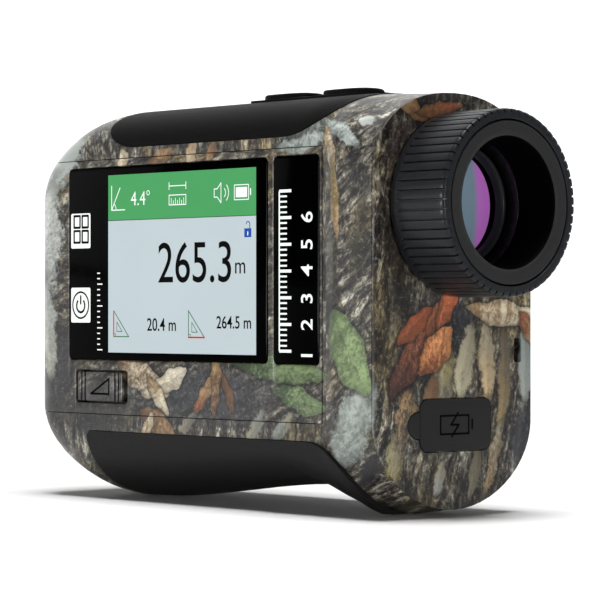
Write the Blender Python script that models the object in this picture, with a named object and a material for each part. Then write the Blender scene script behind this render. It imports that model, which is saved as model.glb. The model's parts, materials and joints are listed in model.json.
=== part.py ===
"""Handheld laser rangefinder with a touch display, modelled as an assembly of separate pieces.

Frame: +X towards the eyepiece, -Y is the display side, +Z up. The origin is the bottom centre.
Lengths below are in millimetres and are turned into metres when a mesh is made.
"""
import math

import bmesh
import bpy
from mathutils import Vector

MM = 0.001
GAP = 0.3
SEGMENTS = 28

# Body skin
FRONT_X = -54.0
REAR_X = 41.2
WAIST_HALF = 16.65
REAR_HALF = 18.05
BULGE_START_X = 27.4
BULGE_RUN = 4.5
CROWN_Z = 69.95
REAR_CROWN_DROP = 0.65
SHOULDER_Z = 62.5
REAR_SHOULDER_Z = 56.0
LOWER_SHOULDER_Z = 12.2
REAR_LOWER_SHOULDER_Z = 15.2
LOWEST_Z = -0.2
WAIST_LIFT = 4.2
WAIST_X = 16.0
REAR_LOW_X = 30.5
REAR_EDGE_LIFT = 1.2
FRONT_SIDE_RADIUS = 8.1
FRONT_TOP_RADIUS = 21.6
FRONT_BOTTOM_RADIUS = 17.5
ARCH_POWER_TOP = 2.2
ARCH_POWER_BOTTOM = 1.9
ARCH_STEPS = 10
WALL = 2.0
PAD_THICKNESS = 0.9

# Side covers and what sits in them
COVER_TOP_Z = 60.7
COVER_BOTTOM_Z = 15.0
COVER_INNER_Y = 12.9
GLASS = ((-41.0, 24.8), (13.7, 59.2))
SCREEN_OPENING = ((-32.0, 26.0), (11.5, 58.0))
LABEL = ((15.3, 24.7), (26.6, 59.3))
SLOPE_WINDOW = ((-39.1, 17.0), (-24.0, 23.0))
PANEL_PROUD = 0.1
GLASS_THICKNESS = 1.1
LABEL_THICKNESS = 0.8
SLIDER_TRAVEL = 1.2

# Optics
OBJECTIVE_Z = 49.0
OBJECTIVE_BORE = 10.5
OBJECTIVE_TUBE_RADIUS = 11.3
LASER_Z = 24.0
LASER_BORE = 7.0
LASER_TUBE_RADIUS = 7.4
EYEPIECE_Z = 51.0
BARREL_RADIUS = 11.8
BARREL_BORE = 10.6
RING_RADIUS = 15.13
RING_REAR_X = 41.6
EYE_FACE_X = 54.0

# Buttons
BUTTON_CENTRES = {"measure_button": 1.9, "mode_button": 17.0}
BUTTON_HALF_LENGTH = 5.3
BUTTON_HALF_WIDTH = 4.4
BUTTON_PROUD = 1.35
BUTTON_FLOOR_Z = 65.8
BUTTON_PLATE = (-5.5, 24.2)
BUTTON_PLATE_HALF_WIDTH = 5.9
BUTTON_PLATE_PROUD = 0.45

# Charging socket cover
USB_Z = 14.95
USB_COVER_Y = (-7.85, 8.3)
USB_COVER_HALF_HEIGHT = 4.25
USB_TAB_Y = -10.55
USB_TAB_HALF_HEIGHT = 2.2
USB_HINGE = (REAR_X + 0.15, 8.45)
USB_COVER_THICKNESS = 1.1
USB_PLUG_HALF = (4.5, 2.0)

COLOURS = {
    "camo": ((0.16, 0.16, 0.13), 0.45, 0.0),
    "grip": ((0.012, 0.012, 0.012), 0.6, 0.0),
    "gloss_black": ((0.004, 0.004, 0.004), 0.12, 0.0),
    "screen": ((0.55, 0.64, 0.69), 0.3, 0.0),
    "black_plastic": ((0.02, 0.02, 0.02), 0.5, 0.0),
    "glass": ((0.35, 0.25, 0.5), 0.03, 0.0),
    "metal": ((0.4, 0.4, 0.42), 0.35, 1.0),
    "steel": ((0.55, 0.55, 0.57), 0.3, 1.0),
    "board": ((0.01, 0.12, 0.05), 0.5, 0.0),
    "cell": ((0.05, 0.12, 0.35), 0.4, 0.0),
    "flex": ((0.45, 0.2, 0.03), 0.4, 0.0),
}


def clear_scene():
    for item in list(bpy.data.objects):
        bpy.data.objects.remove(item, do_unlink=True)


def material(name):
    made = bpy.data.materials.get(name)
    if made:
        return made
    colour, roughness, metallic = COLOURS[name]
    made = bpy.data.materials.new(name)
    made.use_nodes = True
    shader = made.node_tree.nodes["Principled BSDF"]
    shader.inputs["Base Color"].default_value = (*colour, 1.0)
    shader.inputs["Roughness"].default_value = roughness
    shader.inputs["Metallic"].default_value = metallic
    return made


def add_object(name, bm, finish=None, origin=(0.0, 0.0, 0.0)):
    """Turn a bmesh in millimetres into an object in metres with its origin where asked."""
    place = Vector(origin)
    for vertex in bm.verts:
        vertex.co = (vertex.co - place) * MM
    bmesh.ops.recalc_face_normals(bm, faces=bm.faces)
    mesh = bpy.data.meshes.new(name)
    bm.to_mesh(mesh)
    bm.free()
    made = bpy.data.objects.new(name, mesh)
    made.location = place * MM
    bpy.context.scene.collection.objects.link(made)
    if finish:
        own = material(finish).copy()
        own.name = name + "_finish"
        mesh.materials.append(own)
        mesh.shade_smooth()
        mesh.set_sharp_from_angle(angle=math.radians(35))
    else:
        made.hide_render = True
        made.display_type = "WIRE"
    return made


def combine(target, tool, operation):
    step = target.modifiers.new(operation.lower(), "BOOLEAN")
    step.operation = operation
    step.solver = "EXACT"
    step.object = tool
    return target


def cut(target, *tools):
    for tool in tools:
        combine(target, tool, "DIFFERENCE")
    return target


def keep(target, tool):
    return combine(target, tool, "INTERSECT")


def join(target, *tools):
    for tool in tools:
        combine(target, tool, "UNION")
    return target


# Shapes ---------------------------------------------------------------------

def loft(rings):
    """Closed solid through rings that all have the same number of points."""
    bm = bmesh.new()
    loops = [[bm.verts.new(point) for point in ring] for ring in rings]
    count = len(loops[0])
    for near, far in zip(loops[:-1], loops[1:]):
        for k in range(count):
            after = (k + 1) % count
            bm.faces.new((near[k], near[after], far[after], far[k]))
    bm.faces.new(loops[0])
    bm.faces.new(loops[-1])
    return bm


def turned(profile, centre_z, centre_y=0.0, segments=SEGMENTS):
    """Solid turned about an axis along X; the profile is a closed outline of (x, radius)."""
    bm = bmesh.new()
    rows = []
    for x, radius in profile:
        if radius < 1e-6:
            rows.append([bm.verts.new((x, centre_y, centre_z))])
            continue
        row = []
        for k in range(segments):
            angle = 2 * math.pi * k / segments
            y = centre_y + radius * math.cos(angle)
            z = centre_z + radius * math.sin(angle)
            row.append(bm.verts.new((x, y, z)))
        rows.append(row)
    for here, there in zip(rows, rows[1:] + rows[:1]):
        for k in range(segments):
            after = (k + 1) % segments
            corners = [here[k % len(here)], here[after % len(here)]]
            corners += [there[after % len(there)], there[k % len(there)]]
            unique = list(dict.fromkeys(corners))
            if len(unique) > 2:
                bm.faces.new(unique)
    return bm


def tube(x0, x1, inner, outer):
    return [(x0, inner), (x0, outer), (x1, outer), (x1, inner)]


def rod(x0, x1, radius):
    return [(x0, 0.0), (x0, radius), (x1, radius), (x1, 0.0)]


def lens_profile(x0, x1, radius, front_bulge, rear_bulge, steps=4):
    """Half section of a lens, domed at both ends by the given heights."""
    points = []
    for k in range(steps + 1):
        share = k / steps
        points.append((x0 - front_bulge * (1 - share * share), radius * share))
    for k in range(steps + 1):
        share = 1 - k / steps
        points.append((x1 + rear_bulge * (1 - share * share), radius * share))
    return points


def box(low, high):
    bm = bmesh.new()
    bmesh.ops.create_cube(bm, size=1.0)
    for vertex in bm.verts:
        for axis in range(3):
            side = vertex.co[axis] > 0
            vertex.co[axis] = high[axis] if side else low[axis]
    return bm


def rounded_outline(low, high, radius, steps=4):
    """Points of a rectangle with round corners."""
    points = []
    corners = ((high[0], high[1], 0), (low[0], high[1], 90))
    corners += ((low[0], low[1], 180), (high[0], low[1], 270))
    for u, v, start in corners:
        centre_u = u - math.copysign(radius, u - (low[0] + high[0]) / 2)
        centre_v = v - math.copysign(radius, v - (low[1] + high[1]) / 2)
        for k in range(steps + 1):
            angle = math.radians(start + 90 * k / steps)
            points.append((centre_u + radius * math.cos(angle), centre_v + radius * math.sin(angle)))
    return points


def stadium(centre, half_length, half_width, power=2.6, steps=24):
    """Points of an oval with blunt ends."""
    points = []
    for k in range(steps):
        angle = 2 * math.pi * (k + 0.5) / steps
        c, s = math.cos(angle), math.sin(angle)
        u = half_length * math.copysign(abs(c) ** (2 / power), c)
        v = half_width * math.copysign(abs(s) ** (2 / power), s)
        points.append((centre[0] + u, centre[1] + v))
    return points


def prism(outline, axis, start, end):
    """Extrude a closed outline along one axis; the outline's two numbers are the other two axes."""
    def place(point, height):
        rest = list(point)
        rest.insert("XYZ".index(axis), height)
        return tuple(rest)
    return loft([[place(p, start) for p in outline], [place(p, end) for p in outline]])


def grown(rectangle, margin):
    (u0, v0), (u1, v1) = rectangle
    return (u0 - margin, v0 - margin), (u1 + margin, v1 + margin)


# The body's skin --------------------------------------------------------------

def ease(share):
    share = min(max(share, 0.0), 1.0)
    return share * share * (3 - 2 * share)


def fall_back(depth, radius):
    """How far a rounded edge lies behind its full size at a depth from the front."""
    if depth >= radius:
        return 0.0
    return radius - math.sqrt(max(radius * radius - (radius - depth) ** 2, 0.0))


def bottom_line(x):
    if x < WAIST_X:
        return LOWEST_Z + WAIST_LIFT * ease((x + 35.0) / (WAIST_X + 35.0))
    if x < REAR_LOW_X:
        return LOWEST_Z + WAIST_LIFT * (1 - ease((x - WAIST_X) / (REAR_LOW_X - WAIST_X)))
    return LOWEST_Z + REAR_EDGE_LIFT * ease((x - REAR_LOW_X) / (REAR_X - REAR_LOW_X))


def skin_ring(x, inset):
    """Outline of the body across X, pulled in by an inset."""
    depth = x - (FRONT_X + inset)
    bulge = ease((x - BULGE_START_X) / BULGE_RUN)
    top_back = fall_back(depth, FRONT_TOP_RADIUS - inset)
    bottom_back = fall_back(depth, FRONT_BOTTOM_RADIUS - inset)
    half = WAIST_HALF + (REAR_HALF - WAIST_HALF) * bulge - inset
    half -= fall_back(depth, FRONT_SIDE_RADIUS - inset)
    crown = CROWN_Z - inset - top_back - REAR_CROWN_DROP * ease((x - 24.0) / 17.0)
    shoulder = SHOULDER_Z - 0.95 * top_back
    shoulder += (REAR_SHOULDER_Z - SHOULDER_Z) * ease((x - 22.0) / 16.0)
    low = bottom_line(x) + inset + bottom_back
    low_shoulder = LOWER_SHOULDER_Z + 0.6 * bottom_back
    low_shoulder += (REAR_LOWER_SHOULDER_Z - LOWER_SHOULDER_Z) * bulge
    points = []
    for k in range(ARCH_STEPS + 1):
        angle = math.pi * k / ARCH_STEPS
        c, s = math.cos(angle), math.sin(angle)
        y = half * math.copysign(abs(c) ** (2 / ARCH_POWER_TOP), c)
        points.append((x, y, shoulder + (crown - shoulder) * abs(s) ** (2 / ARCH_POWER_TOP)))
    for k in range(ARCH_STEPS + 1):
        angle = math.pi * (1 + k / ARCH_STEPS)
        c, s = math.cos(angle), math.sin(angle)
        y = half * math.copysign(abs(c) ** (2 / ARCH_POWER_BOTTOM), c)
        drop = (low_shoulder - low) * abs(s) ** (2 / ARCH_POWER_BOTTOM)
        points.append((x, y, low_shoulder - drop))
    return points


def skin(inset, end_x):
    """Solid inside the body's skin, from the rounded front to a flat end."""
    start = FRONT_X + inset
    nose = FRONT_TOP_RADIUS - inset
    stations = [start + nose * (1 - math.cos(math.radians(a))) for a in (0, 14, 27, 40, 52, 64, 77, 90)]
    last = stations[-1]
    stations += [last + (BULGE_START_X - last) * k / 6 for k in range(1, 7)]
    stations += [x for x in (28.9, 30.4, 31.9, 36.0, 38.8) if x < end_x - 0.5]
    stations.append(end_x)
    return loft([skin_ring(x, inset) for x in stations])


def guide(name, bm):
    return add_object("guide_" + name, bm)


# Outlines of the grip pads, seen from above -------------------------------------

PAD_CURVE_STEPS = 9


def top_pad_outline(margin):
    """Side view of the upper pad: round nose to the front and a rising curve to the rear."""
    nose = []
    rear = []
    for k in range(PAD_CURVE_STEPS):
        angle = math.radians(90 * k / (PAD_CURVE_STEPS - 1))
        rise = (7.4 + margin) * math.sin(angle)
        nose.append((-22.0 - (10.2 + margin) * math.cos(angle), 70.0 - rise))
        rear.append((17.0 + (11.6 + margin) * math.cos(angle), 70.0 - rise))
    rear.reverse()
    return [(nose[0][0], 90.0)] + nose + rear + [(rear[-1][0], 90.0)]


def bottom_pad_outline(margin):
    """Side view of the lower pad: upright front end and a curve that follows the rear bulge down."""
    front = []
    rear = []
    for k in range(PAD_CURVE_STEPS):
        angle = math.radians(90 * k / (PAD_CURVE_STEPS - 1))
        c, s = math.cos(angle), math.sin(angle)
        front.append((-34.5 - (1.5 + margin) * c, 10.5 + (1.5 + margin) * s))
        rear.append((23.5 + (8.8 + margin) * c, 4.0 + (8.0 + margin) * s))
    rear.reverse()
    return [(front[0][0], -20.0)] + front + rear + [(rear[-1][0], -20.0)]


def housing():
    """Main shell, side covers, front bezel, rear cap and grip pads, all cut from one skin."""
    inner = guide("inner_skin", skin(WALL, REAR_X + 2.0))
    floor = guide("floor", box((-80, -40, -20), (80, 40, 0.0)))
    pad_floor = guide("pad_floor", skin(PAD_THICKNESS, REAR_X + 3.0))

    main_shell = add_object("main_shell", skin(0.0, REAR_X - 0.6 - GAP), "camo")
    cut(main_shell, inner)
    band = box((-80, -40, COVER_BOTTOM_Z), (BULGE_START_X, 40, COVER_TOP_Z))
    cut(main_shell, guide("cover_band", band))
    for label, outline in (
        ("top", top_pad_outline(GAP)),
        ("bottom", bottom_pad_outline(GAP)),
    ):
        seat = guide(label + "_pad_seat", prism(outline, "Y", -40.0, 40.0))
        cut(seat, guide(label + "_pad_seat_floor", skin(PAD_THICKNESS + 2 * GAP, REAR_X + 3.0)))
        cut(main_shell, seat)
    cut(main_shell, floor)

    top_pad = add_object("top_grip_pad", skin(0.0, REAR_X - 1.0), "grip")
    keep(top_pad, guide("top_pad_area", prism(top_pad_outline(0.0), "Y", -40.0, 40.0)))
    plate_centre = (sum(BUTTON_PLATE) / 2, 0.0)
    plate_length = (BUTTON_PLATE[1] - BUTTON_PLATE[0]) / 2
    plate = guide("button_plate", skin(-BUTTON_PLATE_PROUD, BULGE_START_X))
    plate_outline = stadium(plate_centre, plate_length, BUTTON_PLATE_HALF_WIDTH, 5.0)
    keep(plate, guide("button_plate_area", prism(plate_outline, "Z", 68.0, 90.0)))
    join(top_pad, plate)
    cut(top_pad, pad_floor)

    bottom_pad = add_object("bottom_grip_pad", skin(0.0, REAR_X - 1.0), "grip")
    area = prism(bottom_pad_outline(0.0), "Y", -40.0, 40.0)
    keep(bottom_pad, guide("bottom_pad_area", area))
    cut(bottom_pad, pad_floor, floor)

    rear_cap = add_object("rear_cap", loft([skin_ring(x, 0.0) for x in (REAR_X - 0.6, REAR_X)]), "camo")
    spigot = loft([skin_ring(x, WALL + GAP) for x in (REAR_X - 3.0, REAR_X - 0.3)])
    join(rear_cap, guide("rear_cap_spigot", spigot))
    cut(rear_cap, guide("barrel_opening", turned(rod(30, 45, BARREL_RADIUS + GAP), EYEPIECE_Z)), floor)

    covers = {}
    for name, side in (("screen_side_cover", -1), ("far_side_cover", 1)):
        cover = add_object(name, skin(0.0, BULGE_START_X + 1.0), "camo")
        edges = sorted((side * COVER_INNER_Y, side * 40.0))
        area = box((-80, edges[0], COVER_BOTTOM_Z + GAP), (BULGE_START_X - GAP, edges[1], COVER_TOP_Z - GAP))
        keep(cover, guide(name + "_area", area))
        cut(cover, inner)
        covers[name] = cover

    bezel = add_object("front_bezel", skin(0.0, BULGE_START_X), "gloss_black")
    half = COVER_INNER_Y - GAP
    area = box((-80, -half, COVER_BOTTOM_Z + GAP), (-49.5, half, COVER_TOP_Z - GAP))
    keep(bezel, guide("bezel_area", area))
    cut(bezel, guide("objective_opening", turned(rod(-70, -45, OBJECTIVE_BORE), OBJECTIVE_Z)))
    cut(bezel, guide("laser_opening", turned(rod(-70, -45, LASER_BORE), LASER_Z)))
    return main_shell, top_pad, rear_cap, covers


def side_plate(name, rectangle, radius, thickness, finish):
    """Flat plate let into the display side, standing slightly proud."""
    outline = rounded_outline(*rectangle, radius)
    outer = -WAIST_HALF - PANEL_PROUD
    return add_object(name, prism(outline, "Y", outer, outer + thickness), finish)


def pocket(name, rectangle, radius, depth):
    outline = rounded_outline(*grown(rectangle, 0.25), radius)
    return guide(name, prism(outline, "Y", -25.0, -WAIST_HALF - PANEL_PROUD + depth))


def display_side(cover):
    side_plate("touch_glass", GLASS, 1.0, GLASS_THICKNESS, "gloss_black")
    side_plate("side_label_plate", LABEL, 1.0, LABEL_THICKNESS, "gloss_black")
    cut(cover, pocket("glass_pocket", GLASS, 1.2, GLASS_THICKNESS + GAP))
    cut(cover, pocket("label_pocket", LABEL, 1.2, LABEL_THICKNESS + GAP))
    cut(cover, guide("screen_opening", prism(rounded_outline(*SCREEN_OPENING, 1.0), "Y", -20, -10)))
    cut(cover, guide("slope_opening", prism(rounded_outline(*SLOPE_WINDOW, 0.8), "Y", -20, -10)))
    add_object("display_module", box((-33.5, -14.3, 25.2), (12.5, -12.4, 58.8)), "screen")
    add_object("display_flex", box((-8.0, -12.0, 32.8), (2.0, 12.1, 33.2)), "flex")


def slope_switch():
    """Sliding knob in its window with a wider plate behind the cover, and the switch it drives."""
    (u0, v0), (u1, v1) = SLOPE_WINDOW
    knob_low = (u0 + 0.6, v0 + GAP)
    knob_high = (u1 - 0.3 - SLIDER_TRAVEL, v1 - GAP)
    outline = rounded_outline(knob_low, knob_high, 0.6, 3)
    start = ((knob_low[0] + knob_high[0]) / 2, -WAIST_HALF, (v0 + v1) / 2)
    slider = add_object("slope_slider", prism(outline, "Y", -WAIST_HALF, -13.6), "camo", start)
    plate = box((u0 - 1.4, -14.3, v0 - 1.0), (u1 + 0.2, -13.3, v1 + 0.7))
    join(slider, guide("slider_plate", plate))
    add_object("slope_switch_body", box((-37.0, -12.9, 16.8), (-27.0, -9.2, 23.2)), "black_plastic")


def buttons(main_shell, top_pad):
    """Two push buttons over tactile switches on a small board."""
    board_top = 62.2
    for name, x in BUTTON_CENTRES.items():
        centre = (x, 0.0)
        outline = stadium(centre, BUTTON_HALF_LENGTH, BUTTON_HALF_WIDTH)
        button = add_object(name, prism(outline, "Z", BUTTON_FLOOR_Z, 80.0), "grip", (x, 0.0, 70.0))
        keep(button, guide(name + "_dome", skin(-BUTTON_PROUD, BULGE_START_X)))
        flange = stadium(centre, BUTTON_HALF_LENGTH + 0.7, BUTTON_HALF_WIDTH + 1.2)
        join(button, guide(name + "_flange", prism(flange, "Z", BUTTON_FLOOR_Z, BUTTON_FLOOR_Z + 1.0)))
        hole = stadium(centre, BUTTON_HALF_LENGTH + GAP, BUTTON_HALF_WIDTH + GAP)
        opening = guide(name + "_opening", prism(hole, "Z", 60.0, 80.0))
        cut(main_shell, opening)
        cut(top_pad, opening)
        body = box((x - 3.0, -3.0, board_top + GAP), (x + 3.0, 3.0, board_top + 1.9))
        switch = add_object(name.replace("button", "switch"), body, "steel")
        plunger = box((x - 1.2, -1.2, board_top + 1.5), (x + 1.2, 1.2, BUTTON_FLOOR_Z - 1.1))
        join(switch, guide(name + "_plunger", plunger))
    board = add_object("button_board", box((-10.0, -7.5, board_top - 1.0), (20.0, 7.5, board_top)), "board")
    for k, x in enumerate((-8.0, 9.45)):
        cut(board, guide(f"button_board_hole_{k}", vertical_rod(x, 0.0, 60.0, 64.0, 1.1)))
        screw(f"button_board_screw_{k + 1}", (x, 0.0, board_top + GAP), "Z", 2.2)


def vertical_rod(x, y, z0, z1, radius, segments=12):
    angles = [2 * math.pi * k / segments for k in range(segments)]
    outline = [(x + radius * math.cos(a), y + radius * math.sin(a)) for a in angles]
    return prism(outline, "Z", z0, z1)


def screw(name, seat, axis, length):
    """Pan head screw; its head rests at the seat and its shank runs to the negative side."""
    profile = [(-length, 0.0), (-length, 0.8), (0.0, 0.8), (0.0, 1.6), (0.7, 1.6), (0.9, 1.1), (0.9, 0.0)]
    bm = turned(profile, 0.0, 0.0, 12)
    turn = {"Y": lambda p: (p.z, p.x, p.y), "Z": lambda p: (p.y, p.z, p.x)}[axis]
    for vertex in bm.verts:
        vertex.co = Vector(turn(vertex.co)) + Vector(seat)
    return add_object(name, bm, "steel")


def front_optics():
    profile = tube(-49.2, -15.0, OBJECTIVE_BORE, OBJECTIVE_TUBE_RADIUS)
    add_object("objective_tube", turned(profile, OBJECTIVE_Z), "metal")
    lens = lens_profile(-47.6, -43.6, OBJECTIVE_BORE - 0.4, 1.2, 0.0)
    add_object("objective_lens", turned(lens, OBJECTIVE_Z), "glass")
    ring = tube(-51.0, -48.2, 9.2, OBJECTIVE_BORE - GAP)
    add_object("objective_retainer", turned(ring, OBJECTIVE_Z), "black_plastic")
    add_object("laser_tube", turned(tube(-49.2, -33.0, 6.6, LASER_TUBE_RADIUS), LASER_Z), "metal")
    lens = lens_profile(-47.6, -44.6, 6.2, 1.0, 0.0)
    add_object("laser_lens", turned(lens, LASER_Z), "glass")
    add_object("laser_retainer", turned(tube(-51.2, -48.9, 5.4, 6.3), LASER_Z), "black_plastic")
    diode = [(-36.0, 0.0), (-36.0, 2.3), (-32.6, 2.3), (-32.6, 2.8), (-31.4, 2.8), (-31.4, 0.0)]
    add_object("laser_diode", turned(diode, LASER_Z, segments=16), "metal")
    add_object("laser_board", box((-31.0, -7.5, 17.0), (-30.0, 7.5, 31.5)), "board")


def prism_and_boards():
    block = box((-12.0, -9.0, 39.6), (14.0, 9.0, 59.6))
    slanted = [edge for edge in block.edges if abs(edge.verts[0].co.y - edge.verts[1].co.y) > 1]
    bmesh.ops.bevel(block, geom=slanted, offset=4.5, segments=1, affect="EDGES")
    add_object("prism_block", block, "glass")
    add_object("receiver_board", box((-10.0, 10.1, 41.0), (9.0, 11.1, 58.0)), "board")
    detector = turned([(0, 0.0), (0, 2.4), (0.5, 2.4), (0.5, 0.0)], 0.0, 0.0, 16)
    for vertex in detector.verts:
        vertex.co = Vector((vertex.co.y - 0.5, vertex.co.x + 9.3, vertex.co.z + 49.0))
    add_object("receiver_photodiode", detector, "metal")
    add_object("battery", box((-25.0, -8.0, 14.5), (24.0, 8.0, 32.0)), "cell")
    bpy.data.objects["battery"].modifiers.new("edges", "BEVEL").width = 1.5 * MM
    board = add_object("main_board", box((-40.0, 12.5, 17.0), (25.5, 13.5, 58.5)), "board")
    chips = ((-30.0, 22.0, 9.0), (-4.0, 24.0, 11.0), (14.0, 24.0, 6.0))
    for k, (x, z, size) in enumerate(chips):
        chip = box((x, 11.4, z), (x + size, 12.8, z + size * 0.8))
        join(board, guide(f"chip_{k}", chip))
    add_object("buzzer", buzzer_shape(), "black_plastic")


def buzzer_shape():
    bm = turned([(0.0, 0.0), (0.0, 5.0), (2.2, 5.0), (2.2, 0.0)], 0.0, 0.0, 20)
    for vertex in bm.verts:
        vertex.co = Vector((vertex.co.y + 32.8, vertex.co.x + 12.0, vertex.co.z + 27.0))
    return bm


def optical_chassis():
    """Deck under the optics with saddles for the tubes and lugs for the main board's screws."""
    deck = add_object("optical_chassis", box((-44.0, -11.4, 34.2), (25.0, 11.4, 36.2)), "black_plastic")
    saddles = (
        (-44.0, -41.0, 34.8, OBJECTIVE_Z - 2.0, 11.2),
        (-26.0, -23.0, 34.8, OBJECTIVE_Z - 2.0, 11.2),
        (22.0, 25.0, 34.8, EYEPIECE_Z - 3.0, 11.2),
        (-10.0, 12.0, 34.8, 39.2, 6.0),
        (-44.0, -41.0, LASER_Z, 35.5, 9.0),
        (-37.5, -34.5, LASER_Z, 35.5, 9.0),
    )
    for k, (x0, x1, z0, z1, half) in enumerate(saddles):
        join(deck, guide(f"saddle_{k}", box((x0, -half, z0), (x1, half, z1))))
    objective = turned(rod(-60.0, -14.0, OBJECTIVE_TUBE_RADIUS + GAP), OBJECTIVE_Z)
    laser = turned(rod(-60.0, -30.0, LASER_TUBE_RADIUS + GAP), LASER_Z)
    barrel = turned(rod(18.0, 50.0, BARREL_RADIUS + GAP), EYEPIECE_Z)
    cut(deck, guide("objective_seat", objective), guide("laser_seat", laser), guide("barrel_seat", barrel))
    board = bpy.data.objects["main_board"]
    for k, x in enumerate((-38.0, 23.0)):
        join(deck, guide(f"lug_{k}", box((x - 2.0, 7.0, 32.9), (x + 1.9, 12.1, 37.1))))
        hole = turned(rod(5.0, 20.0, 1.1), 0.0, 0.0, 12)
        for vertex in hole.verts:
            vertex.co = Vector((vertex.co.y + x, vertex.co.x, vertex.co.z + 35.0))
        hole = guide(f"lug_hole_{k}", hole)
        cut(deck, hole)
        cut(board, hole)
        screw(f"board_screw_{k + 1}", (x, 13.7, 35.0), "Y", 5.0)


def eyepiece():
    """Fixed barrel, turning dioptre ring with its rubber eyecup, and the sliding ocular cell."""
    barrel = [(21.0, BARREL_BORE), (21.0, BARREL_RADIUS), (34.6, BARREL_RADIUS), (34.6, 14.0)]
    barrel += [(36.6, 14.0), (36.6, BARREL_RADIUS), (45.6, BARREL_RADIUS), (45.6, BARREL_BORE)]
    add_object("eyepiece_barrel", turned(barrel, EYEPIECE_Z), "metal")
    gasket = tube(36.9, 37.9, BARREL_RADIUS + GAP, 14.0)
    add_object("barrel_gasket", turned(gasket, EYEPIECE_Z), "grip")
    add_object("reticle_glass", turned(rod(22.0, 23.2, BARREL_BORE - GAP), EYEPIECE_Z), "glass")
    field = lens_profile(27.0, 30.0, BARREL_BORE - GAP, 0.8, 0.8)
    add_object("field_lens", turned(field, EYEPIECE_Z), "glass")

    axis = (0.0, 0.0, EYEPIECE_Z)
    ring = [(RING_REAR_X, BARREL_RADIUS + GAP), (RING_REAR_X, RING_RADIUS - 0.4)]
    ring += [(RING_REAR_X + 0.4, RING_RADIUS), (EYE_FACE_X - 0.5, RING_RADIUS)]
    ring += [(EYE_FACE_X, RING_RADIUS - 0.5), (EYE_FACE_X, 13.5), (46.0, 13.5)]
    ring += [(46.0, BARREL_RADIUS + GAP)]
    add_object("dioptre_ring", turned(ring, EYEPIECE_Z), "black_plastic", axis)
    cup = [(46.3, 10.2), (46.3, 13.2), (EYE_FACE_X, 13.2), (EYE_FACE_X, 11.3)]
    cup += [(EYE_FACE_X - 0.2, 10.8), (EYE_FACE_X - 0.8, 10.4)]
    add_object("eyecup", turned(cup, EYEPIECE_Z), "grip", axis)

    cell = [(35.0, 8.2), (35.0, 10.3), (43.9, 10.3), (43.9, 9.9), (41.9, 9.9), (41.9, 9.2)]
    cell += [(37.6, 9.2), (37.6, 8.2)]
    add_object("ocular_cell", turned(cell, EYEPIECE_Z), "black_plastic", axis)
    lens = lens_profile(38.6, 40.6, 8.9, 0.5, 1.1)
    add_object("ocular_lens", turned(lens, EYEPIECE_Z), "glass", axis)
    add_object("ocular_retaining_ring", turned(tube(42.2, 43.6, 8.5, 9.6), EYEPIECE_Z), "black_plastic", axis)


def charging_port(rear_cap):
    """Socket, its opening in the rear cap and a rubber cover hinged at one side."""
    low = (USB_COVER_Y[0], USB_Z - USB_COVER_HALF_HEIGHT)
    high = (USB_COVER_Y[1], USB_Z + USB_COVER_HALF_HEIGHT)
    face_x = REAR_X + 0.1
    back_x = face_x - USB_COVER_THICKNESS
    hinge = (USB_HINGE[0], USB_HINGE[1], USB_Z)
    cover = add_object("usb_cover", prism(rounded_outline(low, high, 1.6, 3), "X", back_x, face_x), "grip", hinge)
    join(cover, guide("usb_tab", tab_shape(back_x, face_x, 0.0)))
    across, tall = USB_PLUG_HALF
    plug = box((38.8, -across, USB_Z - tall), (back_x + 0.4, across - 0.3, USB_Z + tall))
    join(cover, guide("usb_plug", plug))
    recess = rounded_outline(*grown((low, high), GAP), 1.9, 3)
    cut(rear_cap, guide("usb_recess", prism(recess, "X", back_x - GAP, 50.0)))
    cut(rear_cap, guide("usb_tab_recess", tab_shape(back_x - GAP, 50.0, GAP)))
    opening = box((30.0, -5.3, USB_Z - 2.5), (50.0, 5.3, USB_Z + 2.5))
    cut(rear_cap, guide("usb_opening", opening))
    socket = add_object("usb_socket", box((30.6, -4.5, USB_Z - 1.7), (38.0, 4.5, USB_Z + 1.7)), "steel")
    cut(socket, guide("usb_mouth", box((32.5, -4.1, USB_Z - 1.25), (40.0, 4.1, USB_Z + 1.25))))
    add_object("usb_board", box((27.5, -8.0, USB_Z - 3.1), (37.0, 8.0, USB_Z - 2.1)), "board")


def tab_shape(x0, x1, margin):
    """Half round pull tab at the cover's open side."""
    reach = USB_COVER_Y[0] - USB_TAB_Y
    points = [(USB_COVER_Y[0] + 1.0, USB_Z - USB_TAB_HALF_HEIGHT - margin)]
    points += [(USB_COVER_Y[0] + 1.0, USB_Z + USB_TAB_HALF_HEIGHT + margin)]
    for k in range(9):
        angle = math.radians(90 + 180 * k / 8)
        y = USB_COVER_Y[0] + (reach + margin) * math.cos(angle)
        points.append((y, USB_Z + (USB_TAB_HALF_HEIGHT + margin) * math.sin(angle)))
    return prism(points, "X", x0, x1)


def strap_slot(rear_cap, main_shell):
    """Slot in the rear face that comes out of the far side, for a wrist strap."""
    cut(rear_cap, guide("strap_slot_rear", box((30.0, 14.0, 24.95), (50.0, 15.7, 29.05))))
    cut(main_shell, guide("strap_slot_side", box((33.5, 13.0, 24.95), (37.5, 30.0, 29.05))))


def build():
    clear_scene()
    main_shell, top_pad, rear_cap, covers = housing()
    display_side(covers["screen_side_cover"])
    slope_switch()
    buttons(main_shell, top_pad)
    front_optics()
    prism_and_boards()
    optical_chassis()
    eyepiece()
    charging_port(rear_cap)
    strap_slot(rear_cap, main_shell)


build()
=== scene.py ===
"""Looks of the laser rangefinder: fine surfaces, camouflage, display picture, ribbed eyepiece and studio."""
import json
import math

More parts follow.
